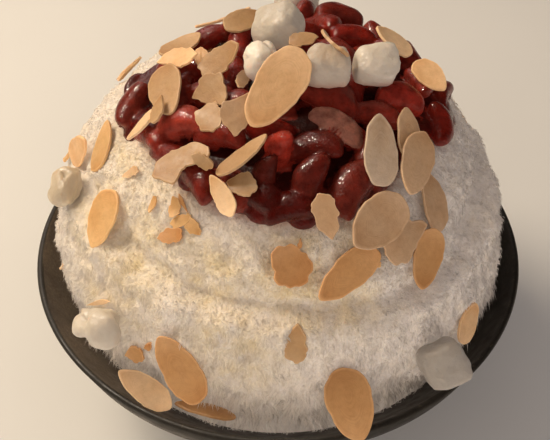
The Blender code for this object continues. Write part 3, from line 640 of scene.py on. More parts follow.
def rice_cake_material():
    """Soft, moist and milky, tinted by its painted colour where syrup has touched it."""
    material, tree, shader = new_material("soft_rice_cake", {"Coat Weight": 0.15, "Coat Roughness": 0.3})
    set_inputs(shader, {"Subsurface Weight": 0.7, "Subsurface Radius": (1.0, 0.85, 0.70)})
    shader.inputs["Subsurface Scale"].default_value = 0.0035
    stops = ((0.3, 0.90, 0.89, 0.88), (0.6, 1.0, 1.0, 1.0), (0.8, 1.02, 1.01, 1.0))
    colour = mottled(tree, add_attribute(tree, "tint"), add_noise(tree, 240, 3), stops)
    tree.links.new(colour, shader.inputs["Base Color"])
    vary_roughness(tree, shader, add_noise(tree, 500, 3), 0.35, 0.65, 0.34, 0.58)
    add_bump(tree, shader, (add_noise(tree, 480, 3), 0.0005, 0.5), (add_noise(tree, 1700, 2), 0.0002, 0.6))
    tree.links.new(shader.inputs["Normal"].links[0].from_socket, shader.inputs["Coat Normal"])
    return material


def almond_material():
    """Toasted almond: growth lines and fine mottling over the painted tan, and a dry surface."""
    material, tree, shader = new_material("toasted_almond_slice", {"Specular IOR Level": 0.4})
    set_inputs(shader, {"Subsurface Weight": 0.12, "Subsurface Radius": (1.0, 0.6, 0.3)})
    shader.inputs["Subsurface Scale"].default_value = 0.0012
    grain = ((0.30, 0.92, 0.90, 0.86), (0.52, 1.0, 1.0, 1.0), (0.75, 1.06, 1.06, 1.05))
    toast = ((0.42, 1.0, 1.0, 1.0), (0.62, 0.96, 0.92, 0.86), (0.80, 0.88, 0.80, 0.70))
    colour = mottled(tree, add_attribute(tree, "tint"), add_noise(tree, 700, 3, 0.6), grain)
    colour = mottled(tree, colour, add_noise(tree, 110, 2), toast, 0.8)
    lines = tree.nodes.new("ShaderNodeTexNoise")
    lines.noise_dimensions = "1D"
    lines.inputs["Scale"].default_value = 26.0
    tree.links.new(add_attribute(tree, "growth", "Fac"), lines.inputs["W"])
    lines = lines.outputs["Fac"]
    colour = mottled(tree, colour, lines, ((0.35, 0.94, 0.92, 0.90), (0.60, 1.03, 1.03, 1.03)), 0.8)
    tree.links.new(colour, shader.inputs["Base Color"])
    vary_roughness(tree, shader, add_noise(tree, 300, 3), 0.3, 0.7, 0.42, 0.62)
    fine = (add_noise(tree, 2200, 2), 0.0001, 0.5)
    add_bump(tree, shader, (add_noise(tree, 520, 3), 0.0004, 0.35), fine, (lines, 0.0001, 0.3))
    return material


def floor_material():
    material, tree, shader = new_material("pale_floor", {"Roughness": 0.7})
    tone = add_ramp(tree, add_noise(tree, 6, 3), ((0.3, 0.74, 0.78, 0.82), (0.7, 0.78, 0.82, 0.86)))
    tree.links.new(tone, shader.inputs["Base Color"])
    return material


# ---- bowl
def inner_height(radius):
    """Height of the bowl's inside, which climbs a little faster than a paraboloid."""
    return FLOOR_HEIGHT + INNER_RISE * (radius / INNER_RADIUS) ** INNER_POWER


def outer_wall(radius):
    """The point of the bowl's outside that lies one wall thickness behind this inner radius."""
    slope = INNER_POWER * INNER_RISE / INNER_RADIUS * (radius / INNER_RADIUS) ** (INNER_POWER - 1)
    length = math.hypot(slope, 1)
    return radius + WALL * slope / length, inner_height(radius) - WALL / length


def bowl_outline():
    """(radius, height) round the section, from the inside floor over the rim to the underside."""
    inside = [(r, inner_height(r)) for r in INSIDE_RADII]
    rim = []
    middle = (INNER_RADIUS + RIM_RADIUS) / 2 + 0.0001
    half = (RIM_RADIUS - INNER_RADIUS) / 2 - 0.0001
    for step in range(1, RIM_STEPS):
        turn = math.pi * (1 - step / RIM_STEPS)
        rim.append((middle + half * math.cos(turn), RIM_HEIGHT - RIM_DROP + RIM_DROP * math.sin(turn)))
    outside = [outer_wall(r) for r in OUTSIDE_RADII]
    foot = [(FOOT_RADIUS + past, height) for past, height in FOOT_OUTSIDE]
    foot += [(FOOT_RADIUS - FOOT_WIDTH + past, height) for past, height in FOOT_INSIDE]
    return inside + rim + outside + foot


def make_bowl():
    """The bowl on a fine lathe, with the slight unevenness of a thrown wall."""
    rings = []
    for radius, height in bowl_outline():
        ring = []
        for k in range(BOWL_SEGMENTS):
            azimuth = math.tau * k / BOWL_SEGMENTS
            uneven = BOWL_UNEVEN * noise.noise(round_point(2, azimuth, height * 300)) * (height > 0.008)
            ring.append(round_point(radius, azimuth, height) + round_point(1, azimuth, 0) * uneven)
        rings.append(ring)
    points, faces = stacked_rings(rings, Vector((0, 0, FLOOR_HEIGHT)), Vector((0, 0, FOOT_DEPTH)))
    piece = add_piece("bowl_glazed", points, faces, stoneware_material(), "bowl")
    paint(piece.data, "tint", [glaze_tint(point) for point in points])


# ---- spots
def view_ray(spot):
    """The direction in which the viewpoint sees this spot of the frame."""
    across = (spot[0] - VIEW_FRAME[0] / 2) / VIEW_FOCAL
    down = (spot[1] - VIEW_FRAME[1] / 2) / VIEW_FOCAL
    return (across * VIEW_RIGHT - down * VIEW_UP - VIEW_BACK).normalized()


def first_hit(tree, start, direction):
    """(point, normal) where a ray first meets the tree's faces, or else where it comes nearest."""
    hit = tree.ray_cast(start, direction)
    if hit[0] is None:
        hit = tree.find_nearest(start + direction * (HEAP_CENTRE - start).dot(direction))
    point, normal = hit[:2]
    return point, normal if normal.dot(direction) < 0 else -normal


def seen_place(tree, spot, turn):
    """(point, normal, long axis) at a spot of the view, with the axis turned this far in it."""
    sight = view_ray(spot)
    point, normal = first_hit(tree, VIEW_POINT, sight)
    normal = (normal + (point - HEAP_CENTRE).normalized()).normalized()
    flat = math.cos(math.radians(turn)) * VIEW_RIGHT + math.sin(math.radians(turn)) * VIEW_UP
    slant = min(sight.dot(normal), -0.25)
    along = flat - sight * (flat.dot(normal) / slant)
    along = along - normal * along.dot(normal)
    return point, normal, along.normalized()


def far_place(tree, azimuth, climb, turn):
    """The same at an azimuth and a climb seen from the heap's middle, for the far side."""
    azimuth = math.radians(azimuth)
    climb = math.radians(climb)
    outward = round_point(math.cos(climb), azimuth, math.sin(climb)).normalized()
    point, normal = first_hit(tree, HEAP_CENTRE + outward * VIEW_DISTANCE, -outward)
    normal = (normal + outward).normalized()
    across = Vector((-math.sin(azimuth), math.cos(azimuth), 0))
    along = across * math.cos(math.radians(turn)) + normal.cross(across) * math.sin(math.radians(turn))
    return point, normal, (along - normal * along.dot(normal)).normalized()


def placed(point, normal, along, lean=0, pitch=0):
    """The matrix of a piece whose +X runs along and whose +Z is the normal, then tipped."""
    across = normal.cross(along)
    axes = Matrix((along, across, normal)).transposed().to_4x4()
    tips = Matrix.Rotation(math.radians(lean), 4, "X") @ Matrix.Rotation(math.radians(-pitch), 4, "Y")
    return Matrix.Translation(point) @ axes @ tips


# ---- shaved ice
def heap_outline(azimuth):
    """How far the heap swells at this azimuth, as a share of its radius: its left flank is slimmer."""
    flank = 0.016 * (1 - math.cos(azimuth))
    return 1 + 0.010 * math.cos(2 * azimuth + 0.3) - 0.012 * math.cos(3 * azimuth - 1.1) - flank


def relief(point):
    """The solid's own lumps, terraces and crumbs."""
    lumps = noise.fractal(point / LUMP_SIZE, 0.9, 2.0, 2)
    level = Vector((point.x * 0.35, point.y * 0.35, point.z)) / TERRACE_SIZE
    terraces = noise.noise(level + Vector((7.0, 3.0, 1.0)))
    crumbs = noise.noise(point / CRUMB_SIZE)
    bare = eased(point.z, 0.046, 0.056) * (1 - eased(point.z, SMOOTH_ABOVE - 0.008, SMOOTH_ABOVE))
    return bare * (LUMP_HEIGHT * lumps + TERRACE_HEIGHT * terraces + CRUMB_HEIGHT * crumbs)


def crease_height(azimuth):
    return CREASE_HEIGHT + CREASE_SWING * math.sin(2 * azimuth + 0.8)


def skirt_share(height, azimuth):
    """1 on the lower skirt, where flakes hang like fur, and 0 above, where they lie as crumbs."""
    edge = crease_height(azimuth)
    return 1 - eased(height, edge - 0.008, edge + 0.002)


def fine_relief(point, azimuth):
    """Height of the finer surface: hanging tufts on the skirt, crumbs above, a crease between."""
    skirt = skirt_share(point.z, azimuth)
    sway = 0.004 * noise.noise(point / 0.015)
    around = (azimuth * 0.07 + sway) / 0.0026
    tufts = noise.noise(Vector((around * 0.40, point.z / 0.010, 3.0)))
    locks = noise.noise(Vector((around, point.z / 0.0065, 9.0)))
    foot = 1 - eased(point.z, 0.050, 0.063)
    fur = TUFT_HEIGHT * tufts + (LOCK_HEIGHT + FOOT_LOCK_HEIGHT * foot) * locks
    clods = 0.0005 * noise.noise(point / 0.0062) + 0.0006 * abs(noise.noise(point / 0.0034))
    crumbs = FINE_CRUMB_HEIGHT * abs(noise.noise(point / 0.0019 + Vector((3.0, 1.0, 7.0))))
    step = point.z - (crease_height(azimuth) + 0.002 * noise.noise(point / 0.02))
    ledge = math.exp(-(((step + 0.0035) / 0.0032) ** 2))
    hollow = math.exp(-(((step - 0.002) / 0.0026) ** 2))
    crease = (LEDGE_HEIGHT * ledge - HOLLOW_DEPTH * hollow) * eased(-point.y, -0.02, 0.02)
    outside = outside_topping(point)
    calm = eased(outside, 0.001, 0.009) * (1 - 0.6 * eased(point.x, 0.025, 0.050))
    under = UNDER_TOPPING_DEPTH * eased(-outside, 0.001, 0.006) * (point.z > 0.09)
    rough = skirt * fur + (1 - 0.5 * skirt) * clods * (0.35 + 0.65 * calm) + crumbs
    bare = eased(point.z, BARE_ABOVE, 0.046)
    return bare * (rough + crease - DRAW_IN * (0.4 + 0.6 * skirt) - under)


def outside_topping(point):
    """How far outside the topping's edge a point of the heap lies, measured level."""
    flat = point - HEAP_CENTRE
    return math.hypot(flat.x, flat.y) - topping_radius(math.atan2(flat.y, flat.x))


def heap_point(azimuth, share):
    """A point of the heap's open side, without relief: share 0 is at the bowl and 1 is the top."""
    radius, height = smooth_curve(HEAP_SIDE, share)
    radius *= heap_outline(azimuth)
    point = round_point(radius, azimuth, height)
    point.x += HEAP_CENTRE.x
    point.y += HEAP_CENTRE.y
    if share == 0:
        point.z = inner_height(math.hypot(point.x, point.y)) + BOWL_GAP
    return point


def clear_of_bowl(point):
    """The point, drawn in towards the middle where it would come too close to the bowl's wall."""
    if point.z > RIM_HEIGHT + 2 * BOWL_GAP:
        return point
    climb = (min(point.z, RIM_HEIGHT) - CORE_GAP - FLOOR_HEIGHT) / INNER_RISE
    widest = INNER_RADIUS * max(climb, 0.0) ** (1 / INNER_POWER)
    pull = min(widest / math.hypot(point.x, point.y), 1.0)
    return Vector((point.x * pull, point.y * pull, point.z))


def ice_rise(point, azimuth, outward, toppings, sunk):
    """How far the ice stands out here: it rises to what has sunk in, and stays under what lies on it."""
    rise = relief(point) + fine_relief(point, azimuth)
    away = sunk.find_nearest(point + outward * rise, SUNK_REACH)[3]
    if away is not None:
        rise += SUNK_RISE * (1 - away / SUNK_REACH) ** 1.5
    above = toppings.ray_cast(point - outward * ICE_BELOW, outward, 0.020)[3]
    if above is not None:
        rise = min(rise, above - ICE_BELOW - ICE_COVER)
    return rise


def make_ice_core(toppings, sunk):
    """The heap's fine surface, from the bowl's floor to its top."""
    rings = []
    turns = [math.tau * k / ICE_SEGMENTS for k in range(ICE_SEGMENTS)]
    for share in (0.30, 0.60, 0.85):
        ring = [heap_point(azimuth, 0) * share for azimuth in turns]
        for point in ring:
            point.z = inner_height(math.hypot(point.x, point.y)) + CORE_GAP
        rings.append(ring)
    rings.append([heap_point(azimuth, 0) for azimuth in turns])
    for step in range(1, ICE_STEPS):
        ring = []
        for k in range(ICE_SEGMENTS):
            azimuth = math.tau * (k + 0.5 * (step % 2)) / ICE_SEGMENTS
            point = heap_point(azimuth, (step / ICE_STEPS) ** 0.92)
            outward = (point - HEAP_CENTRE).normalized()
            ring.append(clear_of_bowl(point + outward * ice_rise(point, azimuth, outward, toppings, sunk)))
        rings.append(ring)
    bottom = Vector((0, 0, FLOOR_HEIGHT + CORE_GAP))
    top = Vector((HEAP_CENTRE.x, HEAP_CENTRE.y, HEAP_SIDE[-1][1]))
    points, faces = stacked_rings(rings, bottom, top)
    piece = add_piece("ice_heap", points, faces, ice_body_material(), "shaved_ice")
    points = np.array([tuple(p) for p in points])
    # The core is painted darker than its flakes: painted shade in the gaps between them.
    paint(piece.data, "tint", CORE_PAINTED_SHADE * ice_tint(points, milk_at(points)))
    return piece


def milk_at(points):
    """How far sweet milk tints the ice at each point, 0 to 1."""
    tree = tree_of_node("shaved_ice")
    spots = [(first_hit(tree, VIEW_POINT, view_ray(spot))[0], *more) for spot, *more in MILK_SPOTS]
    spots += [(far_place(tree, azimuth, climb, 0)[0], *more) for azimuth, climb, *more in FAR_MILK_SPOTS]
    share = np.zeros(len(points))
    for middle, radius, strength in spots:
        away = np.linalg.norm(points - np.array(middle), axis=1) / radius
        share = np.maximum(share, strength * np.exp(-(away**2)))
    places = [Vector(p) for p in points]
    cloud = np.array([noise.noise(p / 0.0052) + 0.6 * noise.noise(p / 0.0021) for p in places])
    return np.clip(share * (0.85 + 0.7 * cloud), 0, 1)


def round_heap(points):
    """(azimuth, how far outside the topping's edge) of each point, measured level round the heap."""
    flat = points[:, :2] - np.array(HEAP_CENTRE)[:2]
    azimuth = np.arctan2(flat[:, 1], flat[:, 0])
    return azimuth, np.hypot(flat[:, 0], flat[:, 1]) - np.array([topping_radius(a) for a in azimuth])


def ice_tint(points, milk):
    """Colour of the ice at each point: white, with milk tints and pink next to the syrup."""
    white, soaked, pink = (np.array(colour) for colour in (WHITE_ICE, SOAKED_ICE, PINK_ICE))
    colour = white + (soaked - white) * milk[:, None]
    past_edge = np.clip(round_heap(points)[1] - PINK_START, 0, None)
    stain = np.exp(-past_edge / PINK_REACH) * (points[:, 2] > PINK_ABOVE)
    return colour + scaled(pink - colour, PINK_SHARE * stain)


def surface_samples(mesh, count, draw, keep):
    """Random points of a triangle mesh by area, with their normals; keep(points) says which stay."""
    mesh.calc_loop_triangles()
    corners = rows_of(mesh.loop_triangles, "vertices", np.int32)
    points, normals = (rows_of(mesh.vertices, name) for name in ("co", "normal"))
    a, b, c = (points[corners[:, i]] for i in range(3))
    area = np.linalg.norm(np.cross(b - a, c - a), axis=1) * keep((a + b + c) / 3)
    chosen = draw.choice(len(area), size=count, p=area / area.sum())
    u, v = draw.random(count), draw.random(count)
    over = u + v > 1
    u[over], v[over] = 1 - u[over], 1 - v[over]
    weights = np.stack((1 - u - v, u, v), axis=1)[:, :, None]
    spots = (points[corners[chosen]] * weights).sum(axis=1)
    facing = (normals[corners[chosen]] * weights).sum(axis=1)
    return spots, unit(facing)


def open_ice(points):
    """1 where the ice shows: outside the topping, and above where it goes into the bowl."""
    covered = (round_heap(points)[1] < -0.002) & (points[:, 2] > 0.1)
    return (~covered & (points[:, 2] > BARE_ABOVE)).astype(float)


def make_flakes(core, toppings, material, number):
    """One piece of thin bent flakes: long and hanging on the skirt, short crumbs above it."""
    draw = np.random.default_rng(40 + number)
    spots, facing = surface_samples(core.data, FLAKES_PER_PIECE, draw, open_ice)
    count = len(spots)
    heights, azimuths = spots[:, 2], round_heap(spots)[0]
    skirt = np.array([skirt_share(z, a) for z, a in zip(heights, azimuths)])
    low = np.clip((0.066 - heights) / 0.014, 0, 1)
    hanging = draw.random(count) < 0.25 + 0.40 * skirt + 0.35 * low

    def between(hanging_range, lying_range):
        """For each flake a random size from the range of its kind."""
        return np.where(hanging, draw.uniform(*hanging_range, count), draw.uniform(*lying_range, count))

    down = np.array((0.0, 0.0, -1.0)) + 0 * facing
    down = unit(down - scaled(facing, (down * facing).sum(axis=1)))
    side = np.cross(facing, down)
    lean = np.array([noise.noise(Vector(p) / 0.006) for p in spots])
    lift = np.array([noise.noise(Vector(p) / 0.004 + Vector((5, 5, 5))) for p in spots])
    turn = np.where(hanging, 1.3 * lean + draw.normal(0, 0.50, count), draw.uniform(0, math.tau, count))
    steep = np.clip(26 + 30 * lift + draw.normal(0, 10, count), *HANGING_RISES)
    rise = np.radians(np.where(hanging, steep, draw.uniform(*LYING_RISES, count)))
    length = between(HANGING_LENGTHS, LYING_LENGTHS)
    length *= 1 + low * hanging * (0.9 + 1.1 * lift)
    width = between(HANGING_WIDTHS, LYING_WIDTHS)
    width *= 1 + 0.35 * low
    along = scaled(down, np.cos(turn)) + scaled(side, np.sin(turn))
    way = unit(scaled(along, np.cos(rise)) + scaled(facing, np.sin(rise)))
    length = shortened(toppings, spots, facing, way, length)
    across = unit(np.cross(way, facing) + scaled(facing, draw.normal(0, 0.6, count)))
    droop = np.array((0.0, 0.0, -1.0)) * (0.30 * length * hanging)[:, None]
    foot = spots - facing * 0.0002
    knee = foot + scaled(way, 0.55 * length)
    tip = foot + scaled(way, length) + droop - scaled(facing, 0.12 * length)
    half = scaled(across, width / 2)
    corners = np.stack((foot - half, foot + half, knee + 0.8 * half, knee - 0.8 * half, tip), axis=1)
    corners = keep_in_bowl(corners.reshape(-1, 3)).reshape(-1, 5, 3)
    kept = np.flatnonzero(length > SHORTEST_FLAKE)
    first = np.arange(len(kept))[:, None] * 5
    faces = np.concatenate((first + (0, 1, 2), first + (0, 2, 3), first + (3, 2, 4)), axis=1)
    mesh = bpy.data.meshes.new(f"ice_flakes_{number}")
    mesh.from_pydata(corners[kept].reshape(-1, 3), [], faces.reshape(-1, 3))
    mesh.materials.append(material)
    edgewise = scaled(0.38 * np.cross(across, way)[kept], draw.choice((-1, 1), len(kept)))
    upward = np.array((0.0, 0.0, 0.25)) * low[kept][:, None]
    soft = unit(0.72 * facing[kept] + edgewise + upward)
    mesh.shade_smooth()
    mesh.normals_split_custom_set_from_vertices(np.repeat(soft, 5, axis=0))
    tint = ice_tint(spots[kept], milk_at(spots[kept]))
    tint = scaled(tint, draw.uniform(*FLAKE_TONES, len(kept)))
    paint(mesh, "tint", np.repeat(np.clip(tint, 0, 0.97), 5, axis=0))
    add_mesh(f"ice_flakes_{number}", mesh)


def shortened(toppings, spots, facing, way, length):
    """The flakes' lengths, cut where one would run into a topping, and 0 where one lies under it."""
    result = length.copy()
    for k, spot in enumerate(spots):
        start = Vector(spot)
        if toppings.find_nearest(start, NEAR_TOPPING)[0] is None:
            continue
        if toppings.ray_cast(start, Vector(facing[k]), 0.004)[0] is not None:
            result[k] = 0.0
            continue
        ahead = toppings.ray_cast(start, Vector(way[k]), length[k] * 1.3)[3]
        if ahead is not None:
            result[k] = ahead * 0.75
    return result


def keep_in_bowl(points):
    """The points, with those that would cross the bowl's wall drawn in."""
    far = np.hypot(points[:, 0], points[:, 1])
    climb = (np.minimum(points[:, 2], RIM_HEIGHT) - 0.0003 - FLOOR_HEIGHT) / INNER_RISE
    widest = INNER_RADIUS * np.maximum(climb, 0.01) ** (1 / INNER_POWER)
    low = (points[:, 2] < RIM_HEIGHT + 0.001) & (far > widest)
    pull = np.where(low, widest / far, 1.0)
    return points * np.stack((pull, pull, np.ones(len(pull))), axis=1)


# ---- red beans
def topping_radius(azimuth):
    return closed_curve(TOPPING_EDGE, azimuth / math.tau)


def syrup_edge(azimuth):
    """Share of the heap's side at which the topping's edge lies."""
    low, high = 0.5, 1.0
    for _ in range(20):
        middle = (low + high) / 2
        if smooth_curve(HEAP_SIDE, middle).x > topping_radius(azimuth):
            low = middle
        else:
            high = middle
    return low


def syrup_core(rings, segments, drop=0.0):
    """Points and faces of the body of syrup over the heap's top, sunk by drop away from its edge."""
    under, over = [], []
    for ring in range(rings):
        inward = ring / rings
        lower, upper = [], []
        for k in range(segments):
            azimuth = math.tau * k / segments
            edge = syrup_edge(azimuth)
            point = heap_point(azimuth, edge + (1 - edge) * inward)
            outward = (point - HEAP_CENTRE).normalized()
            thickness = SYRUP_EDGE + SYRUP_RISE * math.sqrt(inward) - drop * eased(inward, 0.05, 0.3)
            lower.append(point + outward * TOPPING_GAP)
            upper.append(point + outward * (TOPPING_GAP + thickness))
        under.append(lower)
        over.append(upper)
    top = Vector((HEAP_CENTRE.x, HEAP_CENTRE.y, HEAP_SIDE[-1][1] + TOPPING_GAP))
    return stacked_rings(under[::-1] + over, top, top + Vector((0, 0, SYRUP_EDGE + SYRUP_RISE - drop)))


def bean_places(core):
    """Where every bean lies: those that the view shows, then fillers on a sunflower spiral."""
    draw = random.Random(11)
    places = []
    for spot, turn, length, dip in BEANS:
        point, normal, along = seen_place(core, spot, turn)
        places.append((point, normal, along, length, dip))
    for k in range(FILLER_COUNT):
        climb = 88 - 50 * math.sqrt((k + 0.5) / FILLER_COUNT)
        azimuth = math.degrees(k * GOLDEN_ANGLE)
        turn = draw.uniform(0, 180)
        point, normal, along = far_place(core, azimuth, climb, turn)
        inside = math.hypot(point.x - HEAP_CENTRE.x, point.y - HEAP_CENTRE.y)
        near = min((point - place[0]).length for place in places)
        if near > FILLER_SPACING and inside < topping_radius(math.radians(azimuth)) - FILLER_INSET:
            length = FILLER_LENGTH * draw.uniform(*FILLER_SIZES)
            places.append((point, normal, along, length, draw.uniform(*FILLER_DIPS)))
    return places


def bean_points(length, seed):
    """Points and faces of one kidney bean, lying along X, its skin slightly wrinkled."""
    rings = []
    for step in range(1, BEAN_RINGS + 1):
        turn = math.pi * step / (BEAN_RINGS + 1)
        x = -math.cos(turn) / 2
        swell = math.sin(turn) ** BEAN_BLUNTNESS / 2
        bend = -BEAN_BEND * (4 * x * x - 0.4)
        ring = []
        for k in range(BEAN_ROUND):
            angle = math.tau * k / BEAN_ROUND
            y = swell * BEAN_WIDTH_SHARE * math.cos(angle) + bend
            z = swell * BEAN_THICKNESS_SHARE * math.sin(angle)
            point = Vector((x, y, z))
            dents = noise.noise(point * 3.2 + Vector((seed, 0, 0)))
            wrinkles = noise.noise(Vector((x * 4, angle * 1.6, seed)))
            ring.append(point * (1 + BEAN_DENTS * dents + BEAN_WRINKLES * wrinkles) * length)
        rings.append(ring)
    tip_bend = -BEAN_BEND * 0.6 * length
    return stacked_rings(rings, Vector((-length / 2, tip_bend, 0)), Vector((length / 2, tip_bend, 0)))


def one_skin(name, points, faces):
    """A smooth mesh of one skin over shapes that overlap, remeshed finely."""
    mesh = bpy.data.meshes.new("overlapping")
    mesh.from_pydata([tuple(p) for p in points], [], faces)
    raw = bpy.data.objects.new("overlapping", mesh)
    bpy.context.scene.collection.objects.link(raw)
    remesh = raw.modifiers.new("skin", "REMESH")
    remesh.mode = "VOXEL"
    remesh.voxel_size = SYRUP_VOXEL
    soften = raw.modifiers.new("soften", "SMOOTH")
    soften.factor = 0.5
    soften.iterations = 2
    bpy.context.view_layer.update()
    graph = bpy.context.evaluated_depsgraph_get()
    skin = bpy.data.meshes.new_from_object(raw.evaluated_get(graph))
    bpy.data.objects.remove(raw)
    skin.name = name
    skin.materials.clear()
    skin.shade_smooth()
    return skin


def make_beans():
    """Beans and syrup as one skin, so that syrup fills the creases between beans."""
    core_tree = BVHTree.FromPolygons(*syrup_core(SYRUP_RINGS, SYRUP_SEGMENTS))
    places = bean_places(core_tree)
    points, faces = syrup_core(SYRUP_FINE_RINGS, SYRUP_FINE_SEGMENTS, SYRUP_DROP)
    draw = random.Random(5)
    for middle, outward, radius in syrup_lobes(core_tree, draw):
        join(points, faces, *lobe_points(middle, outward, radius))
    owners = [-1] * len(points)
    for index, (point, normal, along, length, dip) in enumerate(places):
        own_points, own_faces = bean_points(length, index * 3.7)
        lift = BEAN_LIFT if index < len(BEANS) else -FILLER_DEPTH
        lean = draw.uniform(-BEAN_LEAN, BEAN_LEAN)
        matrix = placed(point + normal * lift, normal, along, lean, dip)
        join(points, faces, [matrix @ p for p in own_points], own_faces)
        owners += [index] * len(own_points)
    spot, turn, length, dip = SPLIT_SKIN
    point, normal, along = seen_place(core_tree, spot, turn)
    own_points, own_faces = bean_points(length, 1.3)
    matrix = placed(point + normal * SPLIT_LIFT, normal, along, pitch=dip)
    join(points, faces, [matrix @ (p * Vector(SPLIT_FLATNESS)) for p in own_points], own_faces)
    owners += [len(places)] * len(own_points)
    near = KDTree(len(points))
    for index, point in enumerate(points):
        near.insert(point, index)
    near.balance()
    skin = one_skin("beans_in_syrup", points, faces)
    skin.materials.append(bean_material())
    # Some beans are painted paler, as painted sheen, and some darker, as painted shade.
    tones = [bean_tone(draw, BEAN_SHEEN_AND_SHADE.get(index, 1.0)) for index in range(len(places))] + [SPLIT_TONE]
    colours = []
    for vertex in skin.vertices:
        owner = owners[near.find(vertex.co)[1]]
        # Syrup is painted darker away from its edge: partly its depth, partly painted shade between the
        # beans.
        inside = eased(-outside_topping(vertex.co), 0.003, 0.009)
        syrup = Vector(THIN_SYRUP).lerp(Vector(DEEP_SHADED_SYRUP), inside)
        colours.append(tones[owner] if owner >= 0 else tuple(syrup))
    paint(skin, "tint", colours)
    return add_mesh("beans_in_syrup", skin, "red_beans")


def syrup_lobes(core_tree, draw):
    """(middle, outward, radius) of the rounded lobes in which syrup ends on the ice."""
    lobes = []
    for spot, radius in SYRUP_LOBES:
        point, normal = first_hit(core_tree, VIEW_POINT, view_ray(spot))
        lobes.append((point, normal, radius))
    for azimuth in FAR_LOBE_AZIMUTHS:
        turn = math.radians(azimuth + draw.uniform(-FAR_LOBE_STRAY, FAR_LOBE_STRAY))
        point = heap_point(turn, syrup_edge(turn))
        lobes.append((point, (point - HEAP_CENTRE).normalized(), draw.uniform(*FAR_LOBE_RADII)))
    return lobes


def lobe_points(middle, outward, radius):
    """Points and faces of a flat rounded drop that lies on the ice."""
    matrix = placed(middle, outward, outward.orthogonal().normalized())
    rings = []
    for step in range(1, LOBE_RINGS):
        tilt = math.pi * step / LOBE_RINGS
        width, height = radius * math.sin(tilt), -LOBE_FLATNESS * radius * math.cos(tilt)
        turns = (math.tau * k / LOBE_ROUND for k in range(LOBE_ROUND))
        rings.append([matrix @ round_point(width, turn, height) for turn in turns])
    ends = [matrix @ Vector((0, 0, side * LOBE_FLATNESS * radius)) for side in (-1, 1)]
    return stacked_rings(rings, *ends)


def bean_tone(draw, usual):
    """Deep red brown, some beans redder and some duller; usual scales the colour, as painted sheen on paler
    beans and painted shade on darker ones.
    """
    depth = usual * draw.uniform(0.78, 1.12)
    dull = draw.uniform(0.0, 0.9)
    return (0.175 * depth, (0.012 + 0.014 * dull) * depth, (0.007 + 0.010 * dull) * depth)


# ---- rice cakes
def cake_frame(mesh):
    """(middle, three axes, half sizes) of a cake's solid, read from its flat faces."""
    shape = bmesh.new()
    shape.from_mesh(mesh)
    bmesh.ops.remove_doubles(shape, verts=shape.verts, dist=1e-5)
    bmesh.ops.join_triangles(
        shape, faces=shape.faces, angle_face_threshold=0.6, angle_shape_threshold=3.1, cmp_seam=False
    )
    faces = sorted(((f.calc_area(), tuple(f.normal)) for f in shape.faces), reverse=True)
    points = [v.co.copy() for v in shape.verts]
    shape.free()
    first = Vector(faces[0][1])
    second = next(Vector(n) for _, n in faces if abs(Vector(n).dot(first)) < 0.15)
    second = (second - first * second.dot(first)).normalized()
    axes = (first, second, first.cross(second))
    middle = sum(points, Vector()) / len(points)
    sizes = []
    for axis in axes:
        reach = [(p - middle).dot(axis) for p in points]
        sizes.append((max(reach) - min(reach)) / 2)
        middle += axis * (max(reach) + min(reach)) / 2
    return middle, axes, sizes


def cake_unit_points(steps):
    """Points and faces of a unit cube's surface, each side in steps x steps faces."""
    shape = bmesh.new()
    bmesh.ops.create_cube(shape, size=2.0)
    bmesh.ops.subdivide_edges(shape, edges=shape.edges, cuts=steps - 1, use_grid_fill=True)
    points = [v.co.copy() for v in shape.verts]
    faces = [tuple(v.index for v in face.verts) for face in shape.faces]
    shape.free()
    return points, faces


def cake_points(name, seed, unit_points):
    """The unit cube's points, rounded, skewed and dimpled within the cake's solid."""
    draw = random.Random(seed + 20)
    middle, axes, sizes = cake_frame(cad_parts[name].data)
    taper = [draw.uniform(-CAKE_TAPER, CAKE_TAPER) for _ in range(4)]
    skew = [draw.uniform(-CAKE_SKEW, CAKE_SKEW) for _ in range(2)]
    offset = Vector((seed * 5.3, 0, 0))
    usual = CAKE_SHARPNESS * (SOFT_SHARE if name in SOFT_CAKES else 1.0)
    points = []
    for x, y, z in unit_points:
        power = usual + CAKE_UNEVENNESS * noise.noise(Vector((x, y, z)) * 0.8 + offset)
        rounding = (abs(x) ** power + abs(y) ** power + abs(z) ** power) ** (1 / power)
        x, y, z = x / rounding, y / rounding, z / rounding
        swell = 1 + CAKE_SWELL * noise.noise(Vector((x, y, z)) * 1.1 + offset)
        u = x * (1 + taper[0] * y + taper[1] * z) * swell
        v = y * (1 + taper[2] * x) * swell + skew[0] * z
        w = z * (1 + taper[3] * x) * swell + skew[1] * x
        point = middle + axes[0] * (u * sizes[0]) + axes[1] * (v * sizes[1]) + axes[2] * (w * sizes[2])
        dimples = sum(depth * noise.noise(point / size) for depth, size in CAKE_DIMPLES)
        points.append(point + (point - middle).normalized() * dimples)
    return points


def make_rice_cakes(material):
    """A hand-cut soft cube in each cake's solid, stained at its foot where it stands in syrup."""
    unit_points, unit_faces = cake_unit_points(CAKE_STEPS)
    names = sorted(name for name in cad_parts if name.startswith("rice_cake_"))
    for seed, name in enumerate(names):
        points = cake_points(name, seed, unit_points)
        low, high = min(p.z for p in points), max(p.z for p in points)
        # A cake's colour carries its painted light and shade.
        look = Vector(CAKE_LIGHT_AND_SHADE.get(name, PLAIN_CAKE))
        wet = CAKE_WETNESS * (name in WET_CAKES)
        colours = []
        for point in points:
            foot = 1 - eased((point.z - low) / (high - low), 0.0, 0.5)
            stain = wet * foot * (0.6 + 0.6 * noise.noise(point / 0.003))
            colours.append(tuple(look.lerp(Vector(CAKE_STAIN), max(0.0, min(stain, 1.0)))))
        piece = add_piece(name + "_soft", points, unit_faces, material, name)
        paint(piece.data, "tint", colours)


